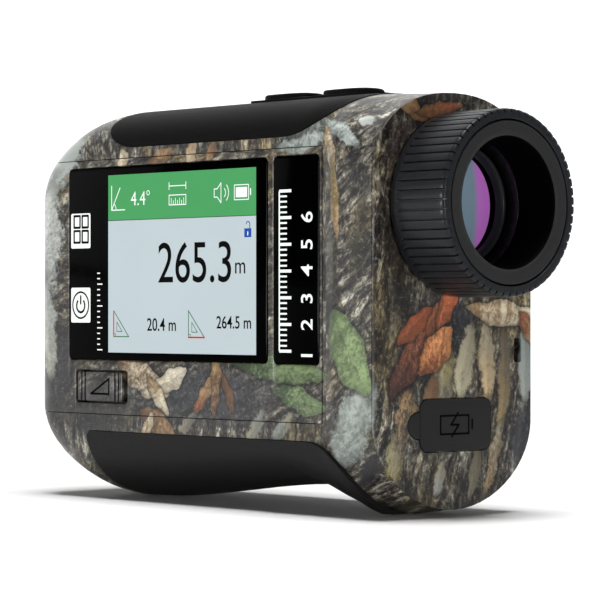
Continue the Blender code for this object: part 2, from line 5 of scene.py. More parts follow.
import bmesh
import bpy
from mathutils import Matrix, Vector


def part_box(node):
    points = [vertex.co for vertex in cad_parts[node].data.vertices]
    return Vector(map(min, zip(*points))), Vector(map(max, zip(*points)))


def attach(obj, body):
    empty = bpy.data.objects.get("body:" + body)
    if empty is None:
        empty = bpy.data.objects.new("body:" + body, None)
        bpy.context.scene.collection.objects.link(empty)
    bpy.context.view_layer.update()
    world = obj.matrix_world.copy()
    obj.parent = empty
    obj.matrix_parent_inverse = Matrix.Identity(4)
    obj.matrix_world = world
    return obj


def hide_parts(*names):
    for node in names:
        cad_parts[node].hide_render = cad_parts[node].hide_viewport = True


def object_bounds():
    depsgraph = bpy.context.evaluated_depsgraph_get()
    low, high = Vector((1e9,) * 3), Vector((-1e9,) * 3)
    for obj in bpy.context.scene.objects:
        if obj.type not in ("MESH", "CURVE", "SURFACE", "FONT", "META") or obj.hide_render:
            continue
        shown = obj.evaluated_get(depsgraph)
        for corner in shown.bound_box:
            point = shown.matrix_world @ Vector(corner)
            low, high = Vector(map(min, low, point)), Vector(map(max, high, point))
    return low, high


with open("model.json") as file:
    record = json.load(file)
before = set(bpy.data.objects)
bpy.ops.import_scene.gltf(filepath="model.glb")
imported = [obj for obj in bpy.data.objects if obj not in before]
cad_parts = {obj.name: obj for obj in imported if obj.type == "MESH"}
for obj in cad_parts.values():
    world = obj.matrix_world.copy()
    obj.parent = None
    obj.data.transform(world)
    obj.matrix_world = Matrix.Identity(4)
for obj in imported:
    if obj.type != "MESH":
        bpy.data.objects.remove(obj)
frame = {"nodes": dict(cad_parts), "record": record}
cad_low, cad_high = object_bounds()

MM = 0.001
GAP = 0.3


def node_box(name):
    """Corners of a CAD node in millimetres."""
    low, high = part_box(name)
    return [value / MM for value in low], [value / MM for value in high]


# Sizes in millimetres, taken from the frame ------------------------------------------------
FRONT_X = cad_low.x / MM
REAR_X = node_box("rear_cap")[1][0]
REAR_HALF = cad_high.y / MM
PANEL_Y = node_box("touch_glass")[0][1]
WAIST_HALF = -PANEL_Y - 0.1
CROWN_Z = 69.95
SHOULDER_Z = 62.5
REAR_SHOULDER_Z = 56.0
REAR_CROWN_DROP = 0.65
LOWER_SHOULDER_Z = 12.2
REAR_LOWER_SHOULDER_Z = 15.2
LOWEST_Z = -0.2
WAIST_LIFT = 4.2
WAIST_X = 16.0
REAR_LOW_X = 30.5
REAR_EDGE_LIFT = 1.2
BULGE_START_X = node_box("screen_side_cover")[1][0] + GAP
BULGE_RUN = 4.5
FRONT_SIDE_RADIUS = 8.1
FRONT_TOP_RADIUS = 21.6
FRONT_BOTTOM_RADIUS = 17.5
ARCH_POWER_TOP = 2.2
ARCH_POWER_BOTTOM = 1.9
ARCH_STEPS = 26
WALL = 2.0
PAD_THICKNESS = 0.9
COVER_TOP_Z = node_box("screen_side_cover")[1][2] + GAP
COVER_BOTTOM_Z = node_box("screen_side_cover")[0][2] - GAP
COVER_INNER_Y = 12.9
BARREL_RADIUS = 11.8
EYE_Z = 51.0
OBJECTIVE_Z = 49.0
LASER_Z = 24.0
USB_Z = 14.95
BUTTON_HALF_LENGTH = 5.3
BUTTON_HALF_WIDTH = 4.4


# Mesh helpers ------------------------------------------------------------------------------

def mesh_object(name, bm):
    for vertex in bm.verts:
        vertex.co *= MM
    bmesh.ops.recalc_face_normals(bm, faces=bm.faces)
    mesh = bpy.data.meshes.new(name)
    bm.to_mesh(mesh)
    bm.free()
    made = bpy.data.objects.new(name, mesh)
    bpy.context.scene.collection.objects.link(made)
    return made


def settle(target):
    """Replace an object's mesh by what its modifiers make of it."""
    graph = bpy.context.evaluated_depsgraph_get()
    graph.update()
    mesh = bpy.data.meshes.new_from_object(target.evaluated_get(graph))
    target.modifiers.clear()
    old = target.data
    target.data = mesh
    bpy.data.meshes.remove(old)
    return target


def carve(target, *steps):
    """Apply Boolean steps, each an operation name and a bmesh or an object."""
    tools = []
    for number, (operation, shape) in enumerate(steps):
        tool = shape if isinstance(shape, bpy.types.Object) else mesh_object(f"tool_{number}", shape)
        step = target.modifiers.new("step", "BOOLEAN")
        step.operation = operation
        step.solver = "EXACT"
        step.object = tool
        tools.append(tool)
    settle(target)
    for tool in tools:
        bpy.data.objects.remove(tool, do_unlink=True)
    return target


def round_edges(target, width, segments=2, angle=50):
    step = target.modifiers.new("round", "BEVEL")
    step.width = width * MM
    step.segments = segments
    step.limit_method = "ANGLE"
    step.angle_limit = math.radians(angle)
    step.use_clamp_overlap = True
    return settle(target)


def dress(target, finish, body, stands_for=(), angle=32):
    """Shading, material, motion and what the piece stands for."""
    target.data.materials.clear()
    target.data.materials.append(finish)
    target.data.shade_smooth()
    target.data.set_sharp_from_angle(angle=math.radians(angle))
    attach(target, body)
    if stands_for:
        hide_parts(*stands_for)
    return target


def loft(rings, closed=True):
    bm = bmesh.new()
    loops = [[bm.verts.new(point) for point in ring] for ring in rings]
    count = len(loops[0])
    for near, far in zip(loops[:-1], loops[1:]):
        for k in range(count):
            after = (k + 1) % count
            bm.faces.new((near[k], near[after], far[after], far[k]))
    if closed:
        bm.faces.new(loops[0])
        bm.faces.new(loops[-1])
    return bm


def turned(profile, centre_z, centre_y=0.0, segments=96):
    """Solid turned about an axis along X; the profile is a closed outline of (x, radius)."""
    bm = bmesh.new()
    rows = []
    for x, radius in profile:
        count = segments if radius > 1e-6 else 1
        row = []
        for k in range(count):
            angle = 2 * math.pi * k / segments
            y = centre_y + radius * math.cos(angle)
            z = centre_z + radius * math.sin(angle)
            row.append(bm.verts.new((x, y, z)))
        rows.append(row)
    for here, there in zip(rows, rows[1:] + rows[:1]):
        for k in range(segments):
            after = (k + 1) % segments
            corners = [here[k % len(here)], here[after % len(here)]]
            corners += [there[after % len(there)], there[k % len(there)]]
            unique = list(dict.fromkeys(corners))
            if len(unique) > 2:
                bm.faces.new(unique)
    return bm


def rounded_profile(points, radius, steps=4):
    """Round the corners of a closed outline with short curves."""
    made = []
    count = len(points)
    for k in range(count):
        corner = Vector(points[k])
        before = Vector(points[k - 1]) - corner
        after = Vector(points[(k + 1) % count]) - corner
        if corner.y < 1e-6:
            made.append(tuple(corner))
            continue
        reach = min(radius, before.length * 0.45, after.length * 0.45)
        start = corner + before.normalized() * reach
        end = corner + after.normalized() * reach
        for j in range(steps + 1):
            share = j / steps
            point = start * (1 - share) ** 2 + corner * 2 * share * (1 - share) + end * share ** 2
            made.append(tuple(point))
    return made


def box(low, high):
    bm = bmesh.new()
    bmesh.ops.create_cube(bm, size=1.0)
    for vertex in bm.verts:
        for axis in range(3):
            vertex.co[axis] = high[axis] if vertex.co[axis] > 0 else low[axis]
    return bm


def rounded_outline(low, high, radius, steps=8):
    points = []
    corners = ((high[0], high[1], 0), (low[0], high[1], 90), (low[0], low[1], 180), (high[0], low[1], 270))
    for u, v, start in corners:
        centre_u = u - math.copysign(radius, u - (low[0] + high[0]) / 2)
        centre_v = v - math.copysign(radius, v - (low[1] + high[1]) / 2)
        for k in range(steps + 1):
            angle = math.radians(start + 90 * k / steps)
            points.append((centre_u + radius * math.cos(angle), centre_v + radius * math.sin(angle)))
    return points


def prism(outline, axis, start, end):
    def place(point, height):
        rest = list(point)
        rest.insert("XYZ".index(axis), height)
        return tuple(rest)
    return loft([[place(p, start) for p in outline], [place(p, end) for p in outline]])


def stadium(centre, half_length, half_width, power=2.6, steps=72):
    points = []
    for k in range(steps):
        angle = 2 * math.pi * (k + 0.5) / steps
        c, s = math.cos(angle), math.sin(angle)
        u = half_length * math.copysign(abs(c) ** (2 / power), c)
        v = half_width * math.copysign(abs(s) ** (2 / power), s)
        points.append((centre[0] + u, centre[1] + v))
    return points


# The body's skin -----------------------------------------------------------------------------

def ease(share):
    share = min(max(share, 0.0), 1.0)
    return share * share * (3 - 2 * share)


def fall_back(depth, radius):
    if depth >= radius:
        return 0.0
    return radius - math.sqrt(max(radius * radius - (radius - depth) ** 2, 0.0))


def bottom_line(x):
    if x < WAIST_X:
        return LOWEST_Z + WAIST_LIFT * ease((x + 35.0) / (WAIST_X + 35.0))
    if x < REAR_LOW_X:
        return LOWEST_Z + WAIST_LIFT * (1 - ease((x - WAIST_X) / (REAR_LOW_X - WAIST_X)))
    return LOWEST_Z + REAR_EDGE_LIFT * ease((x - REAR_LOW_X) / (REAR_X - REAR_LOW_X))


def section(x, inset):
    """Half width, crown, upper shoulder, lower shoulder and lowest height of the body at x."""
    depth = x - (FRONT_X + inset)
    bulge = ease((x - BULGE_START_X) / BULGE_RUN)
    top_back = fall_back(depth, FRONT_TOP_RADIUS - inset)
    bottom_back = fall_back(depth, FRONT_BOTTOM_RADIUS - inset)
    half = WAIST_HALF + (REAR_HALF - WAIST_HALF) * bulge - inset
    half -= fall_back(depth, FRONT_SIDE_RADIUS - inset)
    crown = CROWN_Z - inset - top_back - REAR_CROWN_DROP * ease((x - 24.0) / 17.0)
    shoulder = SHOULDER_Z - 0.95 * top_back
    shoulder += (REAR_SHOULDER_Z - SHOULDER_Z) * ease((x - 22.0) / 16.0)
    low = bottom_line(x) + inset + bottom_back
    low_shoulder = LOWER_SHOULDER_Z + 0.6 * bottom_back
    low_shoulder += (REAR_LOWER_SHOULDER_Z - LOWER_SHOULDER_Z) * bulge
    return half, crown, shoulder, low_shoulder, low


def arch(share, power):
    return max(1 - abs(share) ** power, 0.0) ** (1 / power)


def skin_top(x, y, inset=0.0):
    half, crown, shoulder, _, _ = section(x, inset)
    return shoulder + (crown - shoulder) * arch(min(abs(y) / half, 1.0), ARCH_POWER_TOP)


def skin_ring(x, inset):
    half, crown, shoulder, low_shoulder, low = section(x, inset)
    points = []
    for k in range(ARCH_STEPS + 1):
        angle = math.pi * k / ARCH_STEPS
        c, s = math.cos(angle), math.sin(angle)
        y = half * math.copysign(abs(c) ** (2 / ARCH_POWER_TOP), c)
        points.append((x, y, shoulder + (crown - shoulder) * abs(s) ** (2 / ARCH_POWER_TOP)))
    for k in range(ARCH_STEPS + 1):
        angle = math.pi * (1 + k / ARCH_STEPS)
        c, s = math.cos(angle), math.sin(angle)
        y = half * math.copysign(abs(c) ** (2 / ARCH_POWER_BOTTOM), c)
        drop = (low_shoulder - low) * abs(s) ** (2 / ARCH_POWER_BOTTOM)
        points.append((x, y, low_shoulder - drop))
    return points


def skin(inset, end_x):
    start = FRONT_X + inset
    nose = FRONT_TOP_RADIUS - inset
    stations = [start + nose * (1 - math.cos(math.radians(90 * k / 18))) for k in range(19)]
    step = 2.0
    while stations[-1] + step < end_x - 0.6:
        fine = 0.8 if stations[-1] > 10.0 else step
        stations.append(stations[-1] + fine)
    stations.append(end_x)
    return loft([skin_ring(x, inset) for x in stations])


PAD_CURVE_STEPS = 24


def top_pad_outline(margin):
    """Side view of the upper pad: round nose to the front and a rising curve to the rear."""
    nose = []
    rear = []
    for k in range(PAD_CURVE_STEPS):
        angle = math.radians(90 * k / (PAD_CURVE_STEPS - 1))
        rise = (7.4 + margin) * math.sin(angle)
        nose.append((-22.0 - (10.2 + margin) * math.cos(angle), 70.0 - rise))
        rear.append((17.0 + (11.6 + margin) * math.cos(angle), 70.0 - rise))
    rear.reverse()
    return [(nose[0][0], 90.0)] + nose + rear + [(rear[-1][0], 90.0)]


def bottom_pad_outline(margin):
    """Side view of the lower pad: upright front end and a curve that follows the rear bulge down."""
    front = []
    rear = []
    for k in range(PAD_CURVE_STEPS):
        angle = math.radians(90 * k / (PAD_CURVE_STEPS - 1))
        c, s = math.cos(angle), math.sin(angle)
        front.append((-34.5 - (1.5 + margin) * c, 10.5 + (1.5 + margin) * s))
        rear.append((23.5 + (8.8 + margin) * c, 4.0 + (8.0 + margin) * s))
    rear.reverse()
    return [(front[0][0], -20.0)] + front + rear + [(rear[-1][0], -20.0)]


# Shader graphs -----------------------------------------------------------------------------------

class Graph:
    """Short names for the shader nodes used below."""

    def __init__(self, tree):
        self.tree = tree

    def node(self, kind, **settings):
        made = self.tree.nodes.new(kind)
        for key, value in settings.items():
            setattr(made, key, value)
        return made

    def feed(self, socket, value):
        if isinstance(value, bpy.types.NodeSocket):
            self.tree.links.new(value, socket)
        elif value is not None:
            socket.default_value = value

    def math(self, operation, a, b=None, c=None):
        made = self.node("ShaderNodeMath", operation=operation)
        for socket, value in zip(made.inputs, (a, b, c)):
            self.feed(socket, value)
        return made.outputs[0]

    def vector(self, operation, a, b=None):
        made = self.node("ShaderNodeVectorMath", operation=operation)
        self.feed(made.inputs[0], a)
        self.feed(made.inputs[1], b)
        return made.outputs[0]

    def scaled(self, a, factors):
        return self.vector("MULTIPLY", a, factors)

    def split(self, a):
        made = self.node("ShaderNodeSeparateXYZ")
        self.feed(made.inputs[0], a)
        return made.outputs

    def joined(self, x, y, z=0.0):
        made = self.node("ShaderNodeCombineXYZ")
        for socket, value in zip(made.inputs, (x, y, z)):
            self.feed(socket, value)
        return made.outputs[0]

    def noise(self, place, scale=1.0, detail=4.0, roughness=0.55, distortion=0.0):
        made = self.node("ShaderNodeTexNoise")
        self.feed(made.inputs["Vector"], place)
        self.feed(made.inputs["Scale"], scale)
        self.feed(made.inputs["Detail"], detail)
        self.feed(made.inputs["Roughness"], roughness)
        self.feed(made.inputs["Distortion"], distortion)
        return made.outputs[0]

    def cells(self, place, scale=1.0, feature="DISTANCE_TO_EDGE"):
        made = self.node("ShaderNodeTexVoronoi", feature=feature)
        self.feed(made.inputs["Vector"], place)
        self.feed(made.inputs["Scale"], scale)
        return made.outputs["Distance"]

    def band(self, value, low, high, out_low=0.0, out_high=1.0):
        made = self.node("ShaderNodeMapRange", interpolation_type="SMOOTHSTEP", clamp=False)
        self.feed(made.inputs["Value"], value)
        self.feed(made.inputs["From Min"], low)
        self.feed(made.inputs["From Max"], high)
        self.feed(made.inputs["To Min"], out_low)
        self.feed(made.inputs["To Max"], out_high)
        return made.outputs[0]

    def mix(self, share, a, b, blend="MIX"):
        made = self.node("ShaderNodeMix", data_type="RGBA", blend_type=blend)
        self.feed(made.inputs["Factor"], share)
        self.feed(made.inputs[6], a)
        self.feed(made.inputs[7], b)
        return made.outputs[2]

    def blend(self, share, a, b):
        made = self.node("ShaderNodeMix", data_type="VECTOR")
        self.feed(made.inputs["Factor"], share)
        self.feed(made.inputs[4], a)
        self.feed(made.inputs[5], b)
        return made.outputs[1]

    def dim(self, a, share):
        made = self.node("ShaderNodeVectorMath", operation="SCALE")
        self.feed(made.inputs[0], a)
        self.feed(made.inputs["Scale"], share)
        return made.outputs[0]

    def ramp(self, value, stops):
        made = self.node("ShaderNodeValToRGB")
        ramp = made.color_ramp
        while len(ramp.elements) < len(stops):
            ramp.elements.new(0.5)
        for element, (place, colour) in zip(ramp.elements, stops):
            element.position = place
            element.color = colour
        self.feed(made.inputs[0], value)
        return made.outputs[0]

    def bump(self, height, strength, distance):
        made = self.node("ShaderNodeBump")
        self.feed(made.inputs["Height"], height)
        made.inputs["Strength"].default_value = strength
        made.inputs["Distance"].default_value = distance * MM
        return made.outputs[0]

    def place_mm(self):
        """The point in the object's own frame, in millimetres."""
        coordinates = self.node("ShaderNodeTexCoord")
        return self.scaled(coordinates.outputs["Object"], (1 / MM, 1 / MM, 1 / MM))


def shade(red, green, blue):
    """Linear colour from eight-bit display values."""
    made = []
    for value in (red, green, blue):
        share = value / 255
        made.append(share / 12.92 if share <= 0.04045 else ((share + 0.055) / 1.055) ** 2.4)
    return (*made, 1.0)


def new_material(name, roughness=0.5, specular=0.5, metallic=0.0, coat=0.0, coat_roughness=0.1):
    made = bpy.data.materials.new(name)
    made.use_nodes = True
    shader = made.node_tree.nodes["Principled BSDF"]
    shader.inputs["Roughness"].default_value = roughness
    shader.inputs["Specular IOR Level"].default_value = specular
    shader.inputs["Metallic"].default_value = metallic
    shader.inputs["Coat Weight"].default_value = coat
    shader.inputs["Coat Roughness"].default_value = coat_roughness
    return made, shader, Graph(made.node_tree)


def leaf_group():
    """One leaf or bark patch laid over the colour below it, with a shadow round its edge."""
    tree = bpy.data.node_groups.new("leaf_layer", "ShaderNodeTree")
    vectors = ("Under", "Body", "Tip")
    numbers = ("Along", "Up", "Cosine", "Sine", "Start", "Rise", "Fall", "Foot")
    numbers += ("Lobes", "Warp", "Drift", "Tone", "Veins", "Ragged", "Soft", "Shade")
    for name in vectors:
        tree.interface.new_socket(name=name, in_out="INPUT", socket_type="NodeSocketVector")
    for name in numbers:
        tree.interface.new_socket(name=name, in_out="INPUT", socket_type="NodeSocketFloat")
    tree.interface.new_socket(name="Over", in_out="OUTPUT", socket_type="NodeSocketVector")
    g = Graph(tree)
    given = g.node("NodeGroupInput").outputs
    u = g.math("MULTIPLY_ADD", given["Up"], given["Sine"], given["Start"])
    u = g.math("MULTIPLY_ADD", given["Along"], given["Cosine"], u)
    v = g.math("MULTIPLY_ADD", given["Up"], given["Rise"], given["Foot"])
    v = g.math("MULTIPLY_ADD", given["Along"], given["Fall"], v)
    width = g.math("MAXIMUM", g.math("SUBTRACT", 1.0, g.math("MULTIPLY", u, u)), 0.0)
    width = g.math("POWER", width, 0.8)
    side = g.math("MULTIPLY", g.math("SIGN", v), 1.4)
    wave = g.math("SINE", g.math("MULTIPLY_ADD", u, 8.5, side))
    width = g.math("MULTIPLY", width, g.math("MULTIPLY_ADD", wave, given["Lobes"], 1.0))
    ragged = g.math("MULTIPLY", given["Warp"], given["Ragged"])
    edge = g.math("SUBTRACT", g.math("ADD", width, ragged), g.math("ABSOLUTE", v))
    edge = g.math("MINIMUM", edge, g.math("SUBTRACT", 1.0, g.math("ABSOLUTE", u)))
    under = g.dim(given["Under"], g.band(edge, -0.30, 0.02, 1.0, given["Shade"]))
    along = g.math("MULTIPLY_ADD", u, 0.45, given["Drift"])
    colour = g.blend(g.band(along, 0.1, 0.9), given["Body"], given["Tip"])
    rib = g.band(g.math("ABSOLUTE", g.math("MULTIPLY_ADD", wave, 0.03, v)), 0.015, 0.08, 0.62, 1.0)
    slope = g.math("MULTIPLY_ADD", g.math("ABSOLUTE", v), -0.5, u)
    fine = g.math("PINGPONG", g.math("MULTIPLY", slope, 5.0), 0.5)
    fine = g.band(fine, 0.02, 0.16, 0.8, 1.0)
    veins = g.math("MULTIPLY", rib, fine)
    veins = g.math("MULTIPLY_ADD", g.math("SUBTRACT", veins, 1.0), given["Veins"], 1.0)
    tone = g.math("MULTIPLY", veins, given["Tone"])
    tone = g.math("MULTIPLY", tone, g.band(edge, 0.0, 0.45, 0.6, 1.0))
    tone = g.math("MULTIPLY", tone, g.band(v, -0.15, 0.12, 0.8, 1.05))
    over = g.blend(g.band(edge, 0.0, given["Soft"]), under, g.dim(colour, tone))
    out = g.node("NodeGroupOutput")
    g.feed(out.inputs[0], over)
    return tree


CREAM = shade(206, 194, 168)
TAN = shade(156, 128, 92)
BROWN = shade(110, 80, 56)
RUST = shade(138, 82, 54)
DEEP_RUST = shade(84, 54, 46)
GREEN = shade(122, 142, 98)
DEEP_GREEN = shade(72, 90, 62)
PALE = shade(172, 180, 174)
PALE_DEEP = shade(126, 134, 130)
SLATE = shade(54, 56, 60)
CHARCOAL = shade(34, 31, 34)
GREY = shade(96, 95, 94)
OLIVE = shade(150, 139, 92)
OLIVE_DEEP = shade(92, 84, 54)
BARK = shade(150, 143, 122)
BARK_DEEP = shade(92, 84, 72)

# Wrapped place (along, up), angle in degrees, half length, half width, lobes, body, tip, veins, ragged
LEAVES = (
    # large quiet grounds, with a painted shadow of the eyepiece ring among them
    (-43, 22, 80, 13, 9, 0.0, shade(52, 52, 54), shade(56, 55, 56), 0.0, 0.5),
    (-31, 15.5, 0, 14, 8.5, 0.0, shade(52, 51, 52), shade(58, 56, 54), 0.0, 0.5),
    # painted shadow: the long dark strip beside the eyepiece ring, where the ring shades the body
    (46.5, 46, 90, 24, 5.5, 0.1, shade(36, 34, 32), shade(54, 48, 40), 0.0, 0.9),
    (54, 66, 20, 11, 4.5, 0.1, CHARCOAL, shade(54, 48, 44), 0.0, 0.9),
    (50.5, 27.5, 55, 14, 6.0, 0.1, CHARCOAL, shade(52, 44, 40), 0.0, 0.8),
    (37.5, 45, 78, 12, 2.6, 0.15, shade(50, 46, 40), shade(72, 66, 50), 0.0, 1.2),
    (31.5, 40, 95, 9, 2.0, 0.2, shade(50, 48, 44), shade(78, 74, 62), 0.0, 1.2),
    (27, 63.5, 10, 9, 4.0, 0.1, shade(92, 92, 88), PALE_DEEP, 0.0, 1.0),
    (-2, 19, 0, 30, 7.5, 0.1, SLATE, shade(66, 66, 68), 0.0, 0.7),
    (60, 31.5, 20, 6.5, 5.5, 0.15, CHARCOAL, SLATE, 0.0, 0.9),
    (75, 12.5, 80, 8, 4.2, 0.1, shade(62, 62, 66), SLATE, 0.0, 0.8),
    (46, 61, 48, 9, 2.2, 0.2, CHARCOAL, shade(66, 58, 54), 0.0, 0.9),
    (40, 6, 70, 7, 4, 0.1, shade(56, 54, 58), CHARCOAL, 0.0, 0.9),
    # pale bark and lichen
    (-43, 61, 42, 12, 5.6, 0.15, shade(204, 210, 204), PALE, 0.2, 1.1),
    (-47, 44, 78, 14, 5.4, 0.2, shade(158, 162, 156), shade(200, 204, 198), 0.2, 1.2),
    (-46, 30, 95, 10, 3.2, 0.25, shade(168, 168, 154), PALE, 0.25, 1.0),
    (33.0, 63.5, -35, 6.5, 2.2, 0.15, PALE_DEEP, PALE, 0.25, 0.9),
    (24, 61.8, 8, 8.0, 1.8, 0.2, PALE_DEEP, PALE, 0.2, 1.1),
    (36.2, 14.8, 62, 10.5, 4.8, 0.12, shade(132, 140, 134), shade(166, 174, 166), 0.3, 0.8),
    (39.5, 66.2, 10, 2.6, 1.8, 0.2, shade(206, 206, 200), PALE, 0.2, 1.0),
    (75.8, 24.5, 90, 7.5, 2.0, 0.1, shade(160, 165, 160), PALE_DEEP, 0.2, 0.7),
    # bark columns at the rear
    (57.0, 23.0, 84, 6.0, 3.0, 0.2, BARK, OLIVE, 0.15, 1.0),
    (61.8, 25.2, 80, 7.5, 2.6, 0.2, shade(204, 196, 164), BARK, 0.15, 1.0),
    (66.8, 25.5, 92, 8.0, 2.2, 0.2, shade(212, 186, 142), BARK, 0.15, 1.0),
    (70.8, 22.5, 88, 10.5, 1.6, 0.2, shade(160, 140, 98), BARK_DEEP, 0.15, 1.0),
    (54.0, 19.5, 70, 4.0, 2.0, 0.2, TAN, BROWN, 0.15, 1.0),
    (46.0, 10.5, 80, 6.5, 2.2, 0.2, OLIVE, BARK, 0.15, 1.2),
    (48.0, 16.0, 80, 6.0, 2.4, 0.2, BARK_DEEP, TAN, 0.1, 1.2),
    (56.0, 6.2, 75, 3.6, 1.6, 0.2, shade(172, 176, 172), BARK, 0.1, 1.0),
    (64.0, 7.2, 72, 6.0, 1.4, 0.2, BARK, OLIVE_DEEP, 0.1, 1.0),
    (68.5, 8.8, 70, 7.5, 1.4, 0.2, TAN, BARK, 0.1, 1.0),
    # green leaves
    (18, 24.0, -4, 12.5, 2.3, 0.2, DEEP_GREEN, GREEN, 0.7, 0.4),
    (23.0, 19.0, -14, 7.0, 2.3, 0.25, DEEP_GREEN, GREEN, 0.8, 0.4),
    (35.2, 26.8, -58, 8.5, 4.0, 0.15, shade(104, 124, 82), shade(142, 164, 112), 0.6, 0.3),
    # cream and brown leaves beside the slider
    (-18.5, 21.6, -22, 8.4, 2.9, 0.25, shade(120, 98, 72), CREAM, 0.6, 0.4),
    (-10.6, 21.4, 24, 5.2, 2.0, 0.2, CREAM, shade(226, 216, 196), 0.5, 0.4),
    (-14.2, 18.6, -52, 4.4, 1.5, 0.2, TAN, CREAM, 0.6, 0.3),
    (-14.5, 13.6, -24, 5.5, 2.4, 0.25, BROWN, TAN, 0.7, 0.4),
    (-17.0, 13.0, 60, 2.8, 1.3, 0.2, TAN, CREAM, 0.7, 0.4),
    (1.6, 20.6, 84, 5.5, 1.6, 0.35, BROWN, TAN, 0.6, 0.6),
    (-1.8, 18.8, 52, 4.2, 1.4, 0.3, RUST, TAN, 0.6, 0.6),
    (5.0, 19.6, -66, 3.8, 1.0, 0.3, BROWN, shade(110, 78, 56), 0.6, 0.6),
    (12.0, 14.2, 50, 4.2, 1.6, 0.3, BARK, PALE_DEEP, 0.2, 1.2),
    (19.0, 14.0, 40, 4.0, 1.6, 0.3, PALE_DEEP, BARK, 0.2, 1.2),
    (-6.0, 14.0, 30, 3.4, 1.4, 0.3, BARK, GREY, 0.2, 1.2),
    # tan stems near the upper seam
    (-24.0, 60.0, 92, 3.6, 1.7, 0.3, TAN, CREAM, 0.3, 0.9),
    (-13.0, 60.8, 20, 4.4, 1.6, 0.3, BROWN, TAN, 0.3, 0.9),
    (-5.0, 61.2, 84, 4.4, 1.6, 0.3, CREAM, TAN, 0.3, 0.9),
    (0.5, 61.5, 60, 3.0, 1.4, 0.3, TAN, BROWN, 0.3, 0.9),
    (-37.5, 58.4, 12, 4.0, 1.2, 0.3, TAN, CREAM, 0.2, 1.0),
    (30.6, 59.8, -76, 6.5, 1.0, 0.2, TAN, CREAM, 0.3, 0.6),
    (31.6, 52.0, -86, 8.0, 1.1, 0.3, shade(120, 104, 60), TAN, 0.2, 0.9),
    (49.5, 66.5, -30, 4.5, 1.5, 0.3, TAN, BROWN, 0.4, 0.7),
    (56.0, 66.5, 10, 5.5, 1.4, 0.3, BROWN, RUST, 0.4, 0.7),
    # rust leaf and cream leaf under the eyepiece
    (51.0, 27.6, 52, 10.5, 2.7, 0.25, DEEP_RUST, RUST, 0.6, 0.4),
    (54.8, 27.0, 46, 5.4, 2.7, 0.2, RUST, shade(216, 146, 92), 0.7, 0.3),
    (50.0, 31.0, 38, 5.0, 1.9, 0.3, RUST, shade(150, 80, 50), 0.6, 0.4),
    (57.6, 34.5, 60, 4.6, 1.8, 0.3, RUST, shade(196, 104, 64), 0.6, 0.4),
    (70.5, 33.2, -4, 9.0, 2.2, 0.15, TAN, CREAM, 0.5, 0.3),
    (76.4, 30.6, -60, 3.8, 1.5, 0.2, RUST, TAN, 0.5, 0.4),
    # far side and front, which repeat the same kinds of leaf
    (-64, 45, 60, 9, 4.2, 0.25, TAN, CREAM, 0.6, 0.4),
    (-68, 18, -35, 8, 3.2, 0.25, DEEP_GREEN, GREEN, 0.7, 0.4),
)

# The same kinds of leaf laid out for the far side, in the same form
FAR_LEAVES = (
    (-36, 50, 30, 15, 9, 0.1, SLATE, GREY, 0.0, 0.9),
    (10, 22, -10, 18, 8, 0.1, SLATE, CHARCOAL, 0.0, 0.9),
    (-30, 22, 70, 11, 6, 0.15, PALE, PALE_DEEP, 0.2, 0.9),
    (12, 48, 62, 12, 7, 0.15, PALE_DEEP, PALE, 0.2, 0.9),
    (-30, 42, -30, 14, 5.5, 0.25, TAN, CREAM, 0.6, 0.4),
    (-17, 38, 20, 8, 3.2, 0.2, CREAM, TAN, 0.6, 0.4),
    (-22, 30, -62, 8, 2.6, 0.25, BROWN, TAN, 0.6, 0.4),
    (8, 30, 40, 14, 4.2, 0.25, DEEP_RUST, RUST, 0.6, 0.4),
    (15, 24, 48, 8, 4.0, 0.2, RUST, shade(206, 140, 90), 0.7, 0.3),
    (-6, 54, -8, 13, 4.4, 0.2, DEEP_GREEN, GREEN, 0.7, 0.4),
    (30, 40, -60, 10, 5.0, 0.15, GREEN, shade(150, 172, 120), 0.6, 0.3),
    (-44, 30, 85, 12, 3.0, 0.2, BARK, OLIVE, 0.2, 1.0),
    (34, 22, 80, 10, 3.0, 0.2, BARK, TAN, 0.2, 1.0),
    (-8, 18, -20, 9, 3.0, 0.25, OLIVE, OLIVE_DEEP, 0.4, 0.7),
)


def chosen(leaves, *areas):
    """The leaves that reach into any of the areas, each (low along, low up, high along, high up)."""
    made = []
    for leaf in leaves:
        reach = leaf[3] + 1.5
        for low_s, low_t, high_s, high_t in areas:
            if low_s - reach < leaf[0] < high_s + reach and low_t - reach < leaf[1] < high_t + reach:
                made.append(leaf)
                break
    return made


